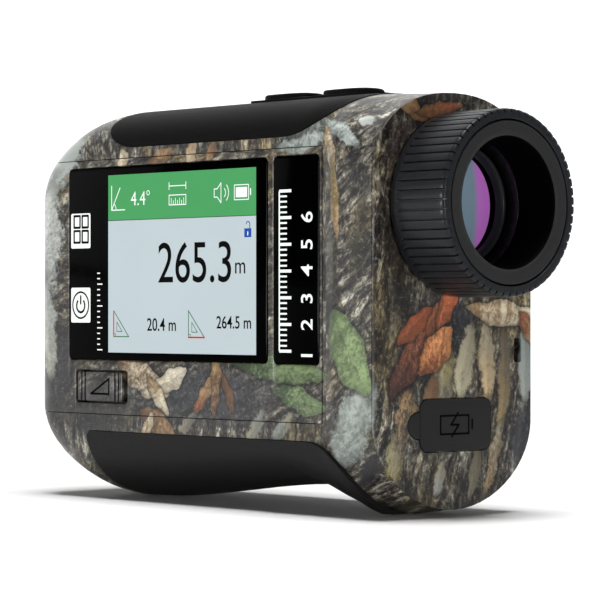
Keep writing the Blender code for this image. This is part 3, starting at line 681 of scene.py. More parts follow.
def camouflage(name, leaves, wraps=True, lean=0.0, roughness=0.36):
    """Printed camouflage film: bark leaning by an angle with leaves over it, wrapped round the body."""
    made, shader, g = new_material(name, roughness, 0.3, coat=0.1, coat_roughness=0.2)
    place = g.place_mm()
    x, y, z = g.split(place)
    swirl = g.noise(place, 0.16, 3.0)
    swirl_2 = g.noise(g.vector("ADD", place, (40.0, 7.0, 90.0)), 0.16, 3.0)
    ahead = g.math("LESS_THAN", x, REAR_X - 0.05)
    inward = g.math("SUBTRACT", REAR_HALF, g.math("ABSOLUTE", y))
    upper = g.math("MULTIPLY", g.band(z, 56.0, 69.0), 0.8)
    lower = g.math("MULTIPLY", g.band(z, 14.0, 2.0), -0.8)
    lift = g.math("MULTIPLY", g.math("ADD", upper, lower), g.math("MULTIPLY", inward, ahead))
    along = g.math("ADD", g.math("ADD", x, y), REAR_HALF)
    along = g.math("ADD", along, g.math("MULTIPLY_ADD", swirl, 2.4, -1.2))
    up = g.math("ADD", g.math("ADD", z, lift), g.math("MULTIPLY_ADD", swirl_2, 2.4, -1.2))
    c, s = math.cos(math.radians(lean)), math.sin(math.radians(lean))
    across = g.math("MULTIPLY_ADD", along, c, g.math("MULTIPLY", up, s))
    lengthways = g.math("MULTIPLY_ADD", up, c, g.math("MULTIPLY", along, -s))
    depth = g.joined(across, lengthways, g.math("MULTIPLY", y, 0.35))

    broad = g.noise(g.scaled(depth, (0.10, 0.05, 0.1)), 1.0, 3.0)
    fibre = g.noise(g.scaled(depth, (0.62, 0.17, 0.5)), 1.0, 8.0, 0.68, 0.6)
    speck = g.noise(g.scaled(depth, (1.5, 1.1, 1.0)), 1.0, 8.0, 0.72)
    crack = g.cells(g.scaled(depth, (0.36, 0.12, 0.3)), 1.0)
    tone = g.math("ADD", g.math("MULTIPLY", fibre, 0.62), g.math("MULTIPLY", speck, 0.38))
    bark = g.ramp(tone, (
        (0.41, shade(22, 20, 22)), (0.47, shade(52, 48, 47)), (0.525, shade(100, 95, 84)),
        (0.575, shade(156, 152, 138)), (0.65, shade(216, 214, 204))))
    warm = g.ramp(tone, (
        (0.41, shade(26, 22, 20)), (0.475, shade(64, 54, 40)), (0.54, shade(116, 104, 74)),
        (0.64, shade(192, 178, 138))))
    parts = g.node("ShaderNodeSeparateColor")
    g.feed(parts.inputs[0], g.mix(g.band(broad, 0.48, 0.66), bark, warm))
    red, green, blue = parts.outputs[:3]
    ground = g.dim(g.joined(red, green, blue), g.band(crack, 0.0, 0.09, 0.35, 1.0))
    after = g.math("MULTIPLY", red, 0.001)
    warp = g.math("SUBTRACT", g.noise(g.scaled(depth, (0.5, 0.5, 0.5)), 1.0, 7.0, 0.74), 0.5)
    lumps = g.noise(g.scaled(depth, (0.30, 0.09, 0.3)), 1.0, 3.0, 0.5, 0.4)
    ground = g.dim(ground, g.band(lumps, 0.38, 0.6, 0.5, 1.25))
    grain = g.math("MULTIPLY_ADD", fibre, 0.45, g.math("MULTIPLY", speck, 0.55))
    grain = g.band(grain, 0.38, 0.62)
    if not wraps:
        along, up = x, z
    along = g.math("ADD", along, after)
    up = g.math("ADD", up, after)
    colour = layered(g, ground, leaves, along, up, warp, grain)
    twigs = g.cells(g.scaled(depth, (0.30, 0.55, 0.3)), 1.0)
    scratch = g.math("MULTIPLY", g.band(twigs, 0.0, 0.035, 1.0, 0.0), g.band(speck, 0.5, 0.62))
    colour = g.blend(g.math("MULTIPLY", scratch, 0.25), colour, shade(196, 190, 172)[:3])
    g.feed(shader.inputs["Base Color"], colour)
    g.feed(shader.inputs["Roughness"], g.band(speck, 0.2, 0.8, roughness - 0.06, roughness + 0.08))
    g.feed(shader.inputs["Normal"], g.bump(speck, 0.12, 0.12))
    return made


BARK_VEINS = 0.15
LEAF_VEINS = 0.35


def edge_of(veins):
    """Softness and shadow of an edge: faint for grounds, soft for bark, crisp for leaves."""
    if veins == 0.0:
        return 0.7, 0.95
    return (0.34, 0.6) if veins < LEAF_VEINS else (0.08, 0.34)


def layered(g, colour, leaves, along, up, warp, grain):
    """Lay the leaves one over another; along and up are turned into each leaf's own length and width."""
    drift = g.math("MULTIPLY_ADD", grain, 0.7, 0.15)
    rough = g.math("MULTIPLY_ADD", grain, 0.75, 0.42)
    calm = g.math("MULTIPLY_ADD", grain, 0.36, 0.68)
    for number, leaf in enumerate(leaves):
        centre_s, centre_t, turn, length, width, lobes, body, tip, veins, ragged = leaf
        c, s = math.cos(math.radians(turn)), math.sin(math.radians(turn))
        layer = g.node("ShaderNodeGroup", node_tree=LEAF)
        values = {
            "Under": colour, "Body": body[:3], "Tip": tip[:3], "Along": along, "Up": up,
            "Cosine": c / length, "Sine": s / length, "Start": -(centre_s * c + centre_t * s) / length,
            "Fall": -s / width, "Rise": c / width, "Foot": (centre_s * s - centre_t * c) / width,
            "Lobes": lobes * 0.45, "Warp": warp, "Drift": drift, "Veins": veins,
            "Tone": rough if veins <= BARK_VEINS else calm,
            "Ragged": ragged * (1.7 if veins < LEAF_VEINS else 0.8) + number * 0.001,
        }
        values["Soft"], values["Shade"] = edge_of(veins)
        for key, value in values.items():
            g.feed(layer.inputs[key], value)
        colour = layer.outputs[0]
    return colour


def plain(name, colour, variation=0.12, roughness=0.5, specular=0.5, metallic=0.0, scale=1.2, bump=0.0,
          coat=0.0, glow=0.0):
    """Moulded or coated material with a fine mottle in colour and roughness."""
    made, shader, g = new_material(name, roughness, specular, metallic, coat)
    place = g.place_mm()
    mottle = g.noise(place, scale, 5.0)
    fine = g.noise(place, scale * 6, 3.0)
    low = tuple(value * (1 - variation) for value in colour[:3]) + (1.0,)
    high = tuple(min(value * (1 + variation), 1.0) for value in colour[:3]) + (1.0,)
    tinted = g.mix(g.band(mottle, 0.3, 0.7), low, high)
    g.feed(shader.inputs["Base Color"], tinted)
    g.feed(shader.inputs["Roughness"], g.band(fine, 0.2, 0.8, max(roughness - 0.07, 0.02), roughness + 0.07))
    if bump:
        g.feed(shader.inputs["Normal"], g.bump(fine, bump, 0.05))
    if glow:
        g.feed(shader.inputs["Emission Color"], tinted)
        shader.inputs["Emission Strength"].default_value = glow
    return made


def coated_lens(name, left, right, middle_y, spread, glow):
    """Lens with a coating whose tint runs from one side to the other, and a painted glow of that tint,
    though the lens is no lamp.
    """
    made, shader, g = new_material(name, 0.04, 0.6, coat=0.6, coat_roughness=0.02)
    _, y, _ = g.split(g.place_mm())
    share = g.band(y, middle_y - spread, middle_y + spread)
    tint = g.mix(share, left, right)
    g.feed(shader.inputs["Base Color"], tint)
    g.feed(shader.inputs["Emission Color"], tint)
    # painted glow: the lens gives out light of its own
    shader.inputs["Emission Strength"].default_value = glow
    return made


LEAF = leaf_group()
camo_cover = camouflage("camo_cover", chosen(LEAVES, (-50, 14, 29, 62)), lean=-72.0)
camo_rim = camouflage("camo_rim", chosen(LEAVES, (-50, 60, 29, 80), (-50, -20, 29, 15)))
camo_bulge = camouflage("camo_bulge", chosen(LEAVES, (28, -20, 44, 56), (28, 56, 70, 90)), lean=-56.0)
camo_rear = camouflage("camo_rear", chosen(LEAVES, (41, 0, 78, 70)), lean=-12.0)
camo_far = camouflage("camo_far", FAR_LEAVES, False)
grip = plain("soft_black_grip", shade(15, 16, 15), 0.15, 0.5, 0.02, bump=0.15, scale=2.0)
# painted light: the same grip rubber as the top pad, painted lighter for the lower pad
grip_painted_lighter = plain("grip_painted_lighter", shade(34, 34, 34), 0.12, 0.45, 0.05, bump=0.15, scale=2.0)
gloss = plain("gloss_black", shade(1, 1, 1), 0.3, 0.12, 0.01)
ring_plastic = plain("ribbed_plastic", shade(30, 31, 34), 0.1, 0.34, 0.16, bump=0.1)
cup_rubber = plain("eyecup_rubber", shade(40, 40, 41), 0.08, 0.5, 0.08, bump=0.1, scale=3.0)
funnel_black = plain("funnel_black", shade(3, 3, 3), 0.2, 0.55, 0.01)
port_rubber = plain("port_rubber", shade(43, 43, 44), 0.08, 0.5, 0.06, bump=0.1, scale=3.0)
# painted shade: near-black strokes that stand for the shade in the relief of small marks
engraved = plain("engraved_shadow", shade(9, 9, 9), 0.2, 0.7, 0.02)
steel = plain("steel", (0.52, 0.52, 0.54, 1.0), 0.08, 0.32, 0.5, 1.0, scale=3.0)
anodised = plain("anodised", (0.03, 0.03, 0.032, 1.0), 0.15, 0.35, 0.5, 0.8)
board_green = plain("solder_mask", (0.01, 0.11, 0.045, 1.0), 0.3, 0.35, 0.5, scale=0.6)
wrap_blue = plain("battery_wrap", (0.04, 0.11, 0.33, 1.0), 0.1, 0.3)
film = plain("flex_film", (0.4, 0.18, 0.04, 1.0), 0.15, 0.3)
dark_plastic = plain("dark_plastic", shade(30, 30, 31), 0.15, 0.5)
# the eyepiece and front lenses carry a painted glow; the inner glass has none
eye_coating_painted_glow = coated_lens("eye_lens_coating_painted_glow", shade(104, 124, 136), shade(166, 98, 176), 5.0, 1.0, 0.32)
front_coating_painted_glow = coated_lens("front_lens_coating_painted_glow", shade(40, 84, 60), shade(70, 40, 110), 0.0, 9.0, 0.05)
inner_glass = coated_lens("inner_glass", shade(120, 130, 140), shade(140, 120, 150), 0.0, 9.0, 0.0)


# Housing ----------------------------------------------------------------------------------------

def shells():
    far_end = REAR_X + 2.0
    floor = ("DIFFERENCE", box((-80, -40, -20), (80, 40, 0.0)))
    main = mesh_object("main_shell_skin", skin(0.0, REAR_X - 0.6 - 0.12))
    steps = [("DIFFERENCE", skin(WALL, far_end))]
    steps.append(("DIFFERENCE", box((-80, -40, COVER_BOTTOM_Z), (BULGE_START_X, 40, COVER_TOP_Z))))
    for outline in (top_pad_outline(0.12), bottom_pad_outline(0.12)):
        seat = mesh_object("seat", prism(outline, "Y", -40.0, 40.0))
        carve(seat, ("DIFFERENCE", skin(PAD_THICKNESS + GAP, far_end + 1.0)))
        steps.append(("DIFFERENCE", seat))
    for name in ("measure_button", "mode_button"):
        steps.append(("DIFFERENCE", prism(button_outline(name, GAP), "Z", 60.0, 80.0)))
    steps.append(("DIFFERENCE", box((33.5, 13.0, 24.95), (37.5, 30.0, 29.05))))
    carve(main, *steps, floor)
    dress(main, camo_rim, "housing", ["main_shell"])
    main.data.materials.append(camo_bulge)
    main.data.materials.append(camo_far)
    for face in main.data.polygons:
        middle = face.center / MM
        if middle.y > COVER_INNER_Y:
            face.material_index = 2
        elif middle.x > BULGE_START_X + 0.8:
            face.material_index = 1

    rings = [skin_ring(x, 0.0) for x in (REAR_X - 0.6, REAR_X - 0.25, REAR_X)]
    cap = mesh_object("rear_cap_skin", loft(rings))
    spigot = loft([skin_ring(x, WALL + GAP) for x in (REAR_X - 3.0, REAR_X - 0.3)])
    plate_low = (-7.85, USB_Z - 4.25)
    plate_high = (8.3, USB_Z + 4.25)
    recess_low = (plate_low[0] - 0.2, plate_low[1] - 0.2)
    recess_high = (plate_high[0] + 0.2, plate_high[1] + 0.2)
    recess = rounded_outline(recess_low, recess_high, 1.8)
    bore_radius = BARREL_RADIUS + GAP
    bore = [(30, 0.0), (30, bore_radius), (45, bore_radius), (45, 0.0)]
    carve(
        cap,
        ("UNION", spigot),
        ("DIFFERENCE", turned(bore, EYE_Z)),
        ("DIFFERENCE", prism(recess, "X", 39.85, 50.0)),
        ("DIFFERENCE", prism(tab_outline(0.2), "X", 39.85, 50.0)),
        ("DIFFERENCE", box((30.0, -5.3, USB_Z - 2.5), (50.0, 5.3, USB_Z + 2.5))),
        ("DIFFERENCE", prism(rounded_outline((14.0, 24.95), (15.7, 29.05), 0.4), "X", 30.0, 50.0)),
        ("DIFFERENCE", box((-80, -40, -20), (80, 40, 0.0))),
    )
    dress(cap, camo_rear, "housing", ["rear_cap"])

    for node, side in (("screen_side_cover", -1), ("far_side_cover", 1)):
        edges = sorted((side * COVER_INNER_Y, side * 40.0))
        cover = mesh_object(node + "_skin", skin(0.0, BULGE_START_X + 1.0))
        seam = 0.14
        corner = (BULGE_START_X - seam, edges[1], COVER_TOP_Z - seam)
        area = box((-80, edges[0], COVER_BOTTOM_Z + seam), corner)
        steps = [("INTERSECT", area), ("DIFFERENCE", skin(WALL, far_end))]
        if side < 0:
            steps += panel_openings()
        carve(cover, *steps)
        round_edges(cover, 0.12, 2)
        dress(cover, camo_cover if side < 0 else camo_far, "housing", [node])


def grown(low, high, margin):
    return (low[0] - margin, low[2] - margin), (high[0] + margin, high[2] + margin)


def panel_openings():
    """Pockets for the glass and the label, the display opening and the slider window."""
    steps = []
    for node in ("touch_glass", "side_label_plate"):
        low, high = node_box(node)
        outline = rounded_outline(*grown(low, high, 0.14), 1.1)
        steps.append(("DIFFERENCE", prism(outline, "Y", -25.0, high[1] + 0.2)))
    steps.append(("DIFFERENCE", prism(rounded_outline((-32.0, 26.0), (11.5, 58.0), 1.0), "Y", -20, -10)))
    steps.append(("DIFFERENCE", prism(rounded_outline(*SLOPE_WINDOW, 0.7), "Y", -20, -10)))
    return steps


SLOPE_WINDOW = ((-39.1, 17.0), (-24.0, 23.0))


def button_outline(name, margin):
    low, high = node_box(name)
    centre = ((low[0] + high[0]) / 2, 0.0)
    return stadium(centre, BUTTON_HALF_LENGTH + margin, BUTTON_HALF_WIDTH + margin)


def tab_outline(margin):
    half = 2.2 + margin
    reach = 2.7 + margin
    points = [(-6.85, USB_Z - half), (-6.85, USB_Z + half)]
    for k in range(17):
        angle = math.radians(90 + 180 * k / 16)
        points.append((-7.85 + reach * math.cos(angle), USB_Z + half * math.sin(angle)))
    return points


def pads():
    pad_floor = skin(PAD_THICKNESS, REAR_X + 2.0)
    top = mesh_object("top_grip_pad_skin", skin(-0.12, REAR_X - 1.0))
    plate = mesh_object("plate", skin(-0.5, REAR_X - 1.0))
    plate_outline = stadium((9.35, 0.0), 14.85, 5.9, 5.0)
    carve(plate, ("INTERSECT", prism(plate_outline, "Z", 68.0, 90.0)))
    steps = [("INTERSECT", prism(top_pad_outline(0.0), "Y", -40.0, 40.0)), ("UNION", plate)]
    steps.append(("DIFFERENCE", pad_floor))
    for name in ("measure_button", "mode_button"):
        steps.append(("DIFFERENCE", prism(button_outline(name, 0.2), "Z", 60.0, 80.0)))
    carve(top, *steps)
    round_edges(top, 0.3, 3)
    dress(top, grip, "housing", ["top_grip_pad"])

    bottom = mesh_object("bottom_grip_pad_skin", skin(-0.1, REAR_X - 1.0))
    lip = mesh_object("lip", skin(-0.75, REAR_X - 1.0))
    carve(
        lip,
        ("INTERSECT", prism(bottom_pad_outline(0.0), "Y", -40.0, 40.0)),
        ("DIFFERENCE", prism(lip_inner_outline(), "Y", -41.0, 41.0)),
        ("DIFFERENCE", box((-80, -40, -20), (12.0, 40, 40))),
    )
    carve(
        bottom,
        ("INTERSECT", prism(bottom_pad_outline(0.0), "Y", -40.0, 40.0)),
        ("UNION", lip),
        ("DIFFERENCE", skin(PAD_THICKNESS, REAR_X + 2.0)),
        ("DIFFERENCE", box((-80, -40, -20), (80, 40, 0.0))),
    )
    round_edges(bottom, 0.35, 3)
    # the lower pad takes the grip rubber painted lighter, as painted light
    dress(bottom, grip_painted_lighter, "housing", ["bottom_grip_pad"])


def lip_inner_outline():
    """Side view of what lies inside the raised lip; the lip widens from nothing towards the rear."""
    outline = [(-60.0, -30.0), (-60.0, 11.99), (14.0, 11.99)]
    for k in range(PAD_CURVE_STEPS):
        angle = math.radians(90 - 90 * k / (PAD_CURVE_STEPS - 1))
        outline.append((21.5 + 8.6 * math.cos(angle), 3.2 + 8.1 * math.sin(angle)))
    return outline + [(30.1, -30.0)]


def bezel():
    half = COVER_INNER_Y - 0.14
    made = mesh_object("front_bezel_skin", skin(0.0, BULGE_START_X))
    carve(
        made,
        ("INTERSECT", box((-80, -half, COVER_BOTTOM_Z + 0.14), (-49.5, half, COVER_TOP_Z - 0.14))),
        ("DIFFERENCE", turned([(-70, 0.0), (-70, 10.5), (-45, 10.5), (-45, 0.0)], OBJECTIVE_Z)),
        ("DIFFERENCE", turned([(-70, 0.0), (-70, 7.0), (-45, 7.0), (-45, 0.0)], LASER_Z)),
    )
    round_edges(made, 0.25, 3)
    dress(made, gloss, "housing", ["front_bezel"])


def lens_profile(low_x, high_x, radius, front, rear, steps=14):
    points = []
    for k in range(steps + 1):
        share = k / steps
        points.append((low_x - front * (1 - share * share), radius * share))
    for k in range(steps + 1):
        share = 1 - k / steps
        points.append((high_x + rear * (1 - share * share), radius * share))
    return points


def front_optics():
    """Two coated lenses in the front, each behind a threaded retainer."""
    glass = (front_coating_painted_glow, "coated_glass")
    ring = (dark_plastic, "black_plastic")
    pieces = (
        ("objective_lens", lens_profile(-47.6, -43.6, 10.1, 1.2, 0.0), OBJECTIVE_Z, *glass),
        ("laser_lens", lens_profile(-47.6, -44.6, 6.2, 1.0, 0.0), LASER_Z, *glass),
        ("objective_retainer", stepped_ring(-51.0, -48.2, 9.2, 10.2), OBJECTIVE_Z, *ring),
        ("laser_retainer", stepped_ring(-51.2, -48.9, 5.4, 6.3), LASER_Z, *ring),
    )
    for node, profile, height, finish, slot in pieces:
        made = mesh_object(node + "_turned", turned(profile, height))
        dress(made, finish, "housing", [node])


def stepped_ring(x0, x1, inner, outer):
    """Ring with two fine steps inside, as on a threaded lens retainer."""
    points = [(x0, inner + 0.4), (x0, outer), (x1, outer), (x1, inner)]
    points += [(x0 + 1.2, inner), (x0 + 1.2, inner + 0.2), (x0 + 0.6, inner + 0.2), (x0 + 0.6, inner + 0.4)]
    return rounded_profile(points, 0.12, 3)


# Eyepiece ----------------------------------------------------------------------------------------

RIBS = 60
RIB_DEPTH = 0.6


def eyepiece():
    low, high = node_box("dioptre_ring")
    radius = (high[1] - low[1]) / 2
    rear_x, face_x = low[0], high[0]
    profile = ring_profile(radius, rear_x, face_x)
    rows = []
    bm = bmesh.new()
    samples = (0.0, 0.26, 0.53, 0.78, 0.82, 0.89, 0.96)
    for x, r, cut in profile:
        row = []
        for rib in range(RIBS):
            for number, share in enumerate(samples):
                angle = 2 * math.pi * (rib + share) / RIBS
                crown = 0.06 * math.cos((share - 0.39) * math.pi / 0.78) if number < 4 else 0.0
                drop = RIB_DEPTH if number in (4, 5, 6) else -crown
                reach = r - cut * drop
                row.append(bm.verts.new((x, reach * math.cos(angle), EYE_Z + reach * math.sin(angle))))
        rows.append(row)
    count = len(rows[0])
    for here, there in zip(rows, rows[1:] + rows[:1]):
        for k in range(count):
            after = (k + 1) % count
            bm.faces.new((here[k], here[after], there[after], there[k]))
    ring = mesh_object("dioptre_ring_ribbed", bm)
    dress(ring, ring_plastic, "dioptre_ring", ["dioptre_ring"], 38)

    cup = [(46.3, 10.2), (46.3, 13.2), (face_x - 0.1, 13.2), (face_x, 12.9), (face_x, 11.5)]
    cup += [(face_x - 0.25, 10.85), (face_x - 0.9, 10.45)]
    made = mesh_object("eyecup_liner", turned(rounded_profile(cup, 0.35), EYE_Z, segments=144))
    dress(made, cup_rubber, "dioptre_ring", ["eyecup"], 60)
    made.data.materials.append(funnel_black)
    for face in made.data.polygons:
        middle = face.center / MM
        distance = math.hypot(middle.y, middle.z - EYE_Z)
        if distance < 11.0 and middle.x < face_x - 0.45:
            face.material_index = 1

    cell = [(35.0, 8.2), (35.0, 10.3), (43.9, 10.3), (43.9, 9.95)]
    cell += [(41.9, 9.9), (41.9, 9.2), (37.6, 9.2), (37.6, 8.2)]
    made = mesh_object("ocular_cell_turned", turned(rounded_profile(cell, 0.12), EYE_Z))
    dress(made, funnel_black, "ocular", ["ocular_cell"])
    keeper = [(42.2, 8.5), (42.2, 9.6), (43.6, 9.6), (43.6, 9.1), (43.0, 8.7)]
    made = mesh_object("ocular_keeper", turned(rounded_profile(keeper, 0.12), EYE_Z))
    dress(made, ring_plastic, "ocular", ["ocular_retaining_ring"])
    made = mesh_object("ocular_lens_domed", turned(lens_profile(38.6, 40.6, 8.9, 0.5, 1.1), EYE_Z))
    dress(made, eye_coating_painted_glow, "ocular", ["ocular_lens"])


def ring_profile(radius, rear_x, face_x):
    """Outline of the ring as (x, radius, share of the groove's depth cut there)."""
    inner = BARREL_RADIUS + GAP
    points = [(rear_x, inner, 0.0), (rear_x, radius - 0.45, 0.0), (rear_x + 0.1, radius - 0.2, 0.0)]
    points += [(rear_x + 0.35, radius - 0.05, 0.0), (rear_x + 1.35, radius - 0.02, 0.0)]
    points += [(rear_x + 1.4, radius - 0.02, 0.0), (rear_x + 1.65, radius, 1.0)]
    points += [(rear_x + 3.5, radius, 0.9), (face_x - 3.5, radius, 0.9)]
    points += [(face_x - 1.0, radius, 1.0), (face_x - 0.4, radius - 0.03, 1.0)]
    points += [(face_x - 0.15, radius - 0.16, 0.9), (face_x - 0.02, radius - 0.38, 0.5)]
    points += [(face_x, radius - 0.7, 0.0)]
    points += [(face_x, 13.62, 0.0), (face_x - 0.12, 13.5, 0.0), (46.0, 13.5, 0.0), (46.0, inner, 0.0)]
    return points


# Buttons, slider, charging cover ------------------------------------------------------------------

def button(name):
    low, high = node_box(name)
    centre_x = (low[0] + high[0]) / 2
    bm = bmesh.new()
    count = 96
    rings = []
    top = bm.verts.new((centre_x, 0.0, button_height(centre_x, 0.0, 0.0)))
    for share in (0.12, 0.25, 0.38, 0.5, 0.62, 0.72, 0.8, 0.86, 0.91, 0.95, 0.975, 0.99, 1.0):
        ring = []
        half_length, half_width = BUTTON_HALF_LENGTH * share, BUTTON_HALF_WIDTH * share
        for x, y in stadium((centre_x, 0.0), half_length, half_width, steps=count):
            ring.append(bm.verts.new((x, y, button_height(x, y, share))))
        rings.append(ring)
    side = stadium((centre_x, 0.0), BUTTON_HALF_LENGTH, BUTTON_HALF_WIDTH, steps=count)
    rings.append([bm.verts.new((x, y, 66.9)) for x, y in side])
    flange = stadium((centre_x, 0.0), BUTTON_HALF_LENGTH + 0.7, BUTTON_HALF_WIDTH + 1.2, steps=count)
    rings.append([bm.verts.new((x, y, 66.8)) for x, y in flange])
    rings.append([bm.verts.new((x, y, 65.8)) for x, y in flange])
    for k in range(count):
        bm.faces.new((top, rings[0][k], rings[0][(k + 1) % count]))
    for here, there in zip(rings[:-1], rings[1:]):
        for k in range(count):
            after = (k + 1) % count
            bm.faces.new((here[k], here[after], there[after], there[k]))
    bm.faces.new(rings[-1])
    made = mesh_object(name + "_dished", bm)
    dress(made, grip, name, [name], 40)


def button_height(x, y, share):
    """Follows the body's arch, dished in the middle and rounded at the rim."""
    rim = 0.4 * max(share - 0.9, 0.0) / 0.1
    edge = 0.4 - math.sqrt(max(0.4 ** 2 - rim ** 2, 0.0))
    dish = 0.55 * (1 - ease(share / 0.86))
    return skin_top(x, y) + 1.34 - edge - dish


def slope_slider():
    (u0, v0), (u1, v1) = SLOPE_WINDOW
    knob_low = (u0 + 0.6, v0 + 0.4)
    knob_high = (u1 - 0.4 - 1.2, v1 - 0.4)
    outline = rounded_outline(knob_low, knob_high, 0.6)
    made = mesh_object("slope_knob", prism(outline, "Y", -WAIST_HALF, -13.6))
    grooves = []
    for x in (knob_low[0] + 1.1, knob_low[0] + 2.1, knob_high[0] - 1.1, knob_high[0] - 2.1):
        grooves.append(("DIFFERENCE", box((x - 0.2, -20.0, v0 - 1), (x + 0.2, -WAIST_HALF + 0.55, v1 + 1))))
    plate = box((u0 - 1.4, -14.3, v0 - 1.0), (u1 + 0.2, -13.3, v1 + 0.7))
    carve(made, ("UNION", plate), *grooves)
    round_edges(made, 0.1, 2)
    dress(made, camo_cover, "slope_slider", ["slope_slider"])
    # painted shade: the triangle mark is dark strokes standing for the shade of an engraved triangle
    corners = [(-34.6, 18.7), (-29.4, 18.7), (-29.4, 21.4), (-34.6, 18.7)]
    icon = bmesh.new()
    strokes(icon, corners, 0.36, -WAIST_HALF - 0.02, 0.1)
    made = mesh_object("slope_mark", icon)
    dress(made, engraved, "slope_slider")


def strokes(bm, points, width, outer_y, thickness, disc=True):
    """Line of even width drawn on the display side, as thin closed bars with round joints."""
    half = width / 2
    for a, b in zip(points[:-1], points[1:]):
        along = Vector((b[0] - a[0], b[1] - a[1]))
        if along.length < 1e-6:
            continue
        side = Vector((-along.y, along.x)).normalized() * half
        outline = [(a[0] + side.x, a[1] + side.y), (a[0] - side.x, a[1] - side.y)]
        outline += [(b[0] - side.x, b[1] - side.y), (b[0] + side.x, b[1] + side.y)]
        flat_plate(bm, outline, outer_y, thickness)
    if disc:
        for x, z in points:
            angles = [k * math.pi / 5 for k in range(10)]
            ring = [(x + half * math.cos(angle), z + half * math.sin(angle)) for angle in angles]
            flat_plate(bm, ring, outer_y - 0.002, thickness)


def flat_plate(bm, outline, outer_y, thickness):
    """Thin closed plate facing the display side."""
    front = [bm.verts.new((x, outer_y, z)) for x, z in outline]
    back = [bm.verts.new((x, outer_y + thickness, z)) for x, z in outline]
    bm.faces.new(front)
    bm.faces.new(back)
    count = len(outline)
    for k in range(count):
        after = (k + 1) % count
        bm.faces.new((front[k], front[after], back[after], back[k]))


def charging_cover():
    face = node_box("usb_cover")[1][0]
    back = face - 1.1
    plate = rounded_outline((-7.85, USB_Z - 4.25), (8.3, USB_Z + 4.25), 1.6)
    made = mesh_object("usb_cover_flap", prism(plate, "X", back, face))
    carve(made, ("UNION", prism(tab_outline(0.0), "X", back, face - 0.15)))
    round_edges(made, 0.3, 3)
    plug = box((38.8, -4.5, USB_Z - 2.0), (back + 0.4, 4.2, USB_Z + 2.0))
    carve(made, ("UNION", plug))
    dress(made, port_rubber, "usb_cover", ["usb_cover"])
    # painted shade: the battery mark is dark strokes standing for the shade of the embossed icon, which has
    # the rubber's own colour
    mark = bmesh.new()
    body = [(-3.6, -1.5), (2.9, -1.5), (2.9, 1.5), (-3.6, 1.5), (-3.6, -1.5)]
    strokes(mark, body, 0.34, 0.0, 0.1)
    strokes(mark, [(3.7, -0.7), (3.7, 0.7)], 0.4, 0.0, 0.1)
    strokes(mark, [(0.4, 1.9), (-1.2, 0.0), (0.6, 0.0), (-1.0, -1.9)], 0.36, -0.004, 0.1)
    for vertex in mark.verts:
        across, out, up = vertex.co
        vertex.co = (face + 0.02 - out, across + 0.3, up + USB_Z)
    made = mesh_object("usb_cover_mark", mark)
    dress(made, engraved, "usb_cover")


# Display side ----------------------------------------------------------------------------------------

def plates():
    for node, finish in (("touch_glass", gloss), ("side_label_plate", gloss)):
        low, high = node_box(node)
        outline = rounded_outline((low[0], low[2]), (high[0], high[2]), 1.0)
        made = mesh_object(node + "_rounded", prism(outline, "Y", low[1], high[1]))
        round_edges(made, 0.12, 2)
        dress(made, finish, "housing", [node])


def lit(name, colour, glow):
    made, shader, g = new_material(name, 0.4, 0.02)
    glimmer = g.noise(g.place_mm(), 0.05, 2.0)
    low = tuple(value * 0.975 for value in colour[:3]) + (1.0,)
    tint = g.mix(g.band(glimmer, 0.35, 0.65), low, colour)
    g.feed(shader.inputs["Base Color"], g.mix(1.0, tint, (0.25, 0.25, 0.25, 1.0), "MULTIPLY"))
    g.feed(shader.inputs["Emission Color"], tint)
    shader.inputs["Emission Strength"].default_value = glow
    return made


def write(bm, text, x, z, height, squeeze, outer_y, thickness=0.02, turn=0.0, bold=0.0):
    """Digits facing the display side; x, z is the lower left corner and turn is in degrees."""
    curve = bpy.data.curves.new("digits", "FONT")
    curve.body = text
    curve.size = 1.0
    curve.offset = bold
    curve.resolution_u = 6
    holder = bpy.data.objects.new("digits", curve)
    bpy.context.scene.collection.objects.link(holder)
    graph = bpy.context.evaluated_depsgraph_get()
    mesh = bpy.data.meshes.new_from_object(holder.evaluated_get(graph))
    xs = [vertex.co.x for vertex in mesh.vertices]
    digit_height = 0.73
    scale = height / digit_height
    start = min(xs)
    flat = bmesh.new()
    flat.from_mesh(mesh)
    bmesh.ops.remove_doubles(flat, verts=flat.verts, dist=1e-5)
    grown_up = bmesh.ops.extrude_face_region(flat, geom=list(flat.faces))
    lifted = [item for item in grown_up["geom"] if isinstance(item, bmesh.types.BMVert)]
    for vertex in lifted:
        vertex.co.z = 1.0
    angle = math.radians(turn)
    c, s = math.cos(angle), math.sin(angle)
    for vertex in flat.verts:
        u = (vertex.co.x - start) * scale * squeeze
        v = vertex.co.y * scale
        depth = outer_y + thickness * (1.0 - vertex.co.z)
        vertex.co = (x + u * c - v * s, depth, z + u * s + v * c)
    flat.normal_update()
    temporary = bpy.data.meshes.new("digits")
    flat.to_mesh(temporary)
    flat.free()
    bm.from_mesh(temporary)
    bpy.data.meshes.remove(temporary)
    bpy.data.objects.remove(holder, do_unlink=True)
    bpy.data.meshes.remove(mesh)
    return (max(xs) - start) * scale * squeeze


def arc(cx, cz, radius, start, end, steps=20):
    points = []
    for k in range(steps + 1):
        angle = math.radians(start + (end - start) * k / steps)
        points.append((cx + radius * math.cos(angle), cz + radius * math.sin(angle)))
    return points


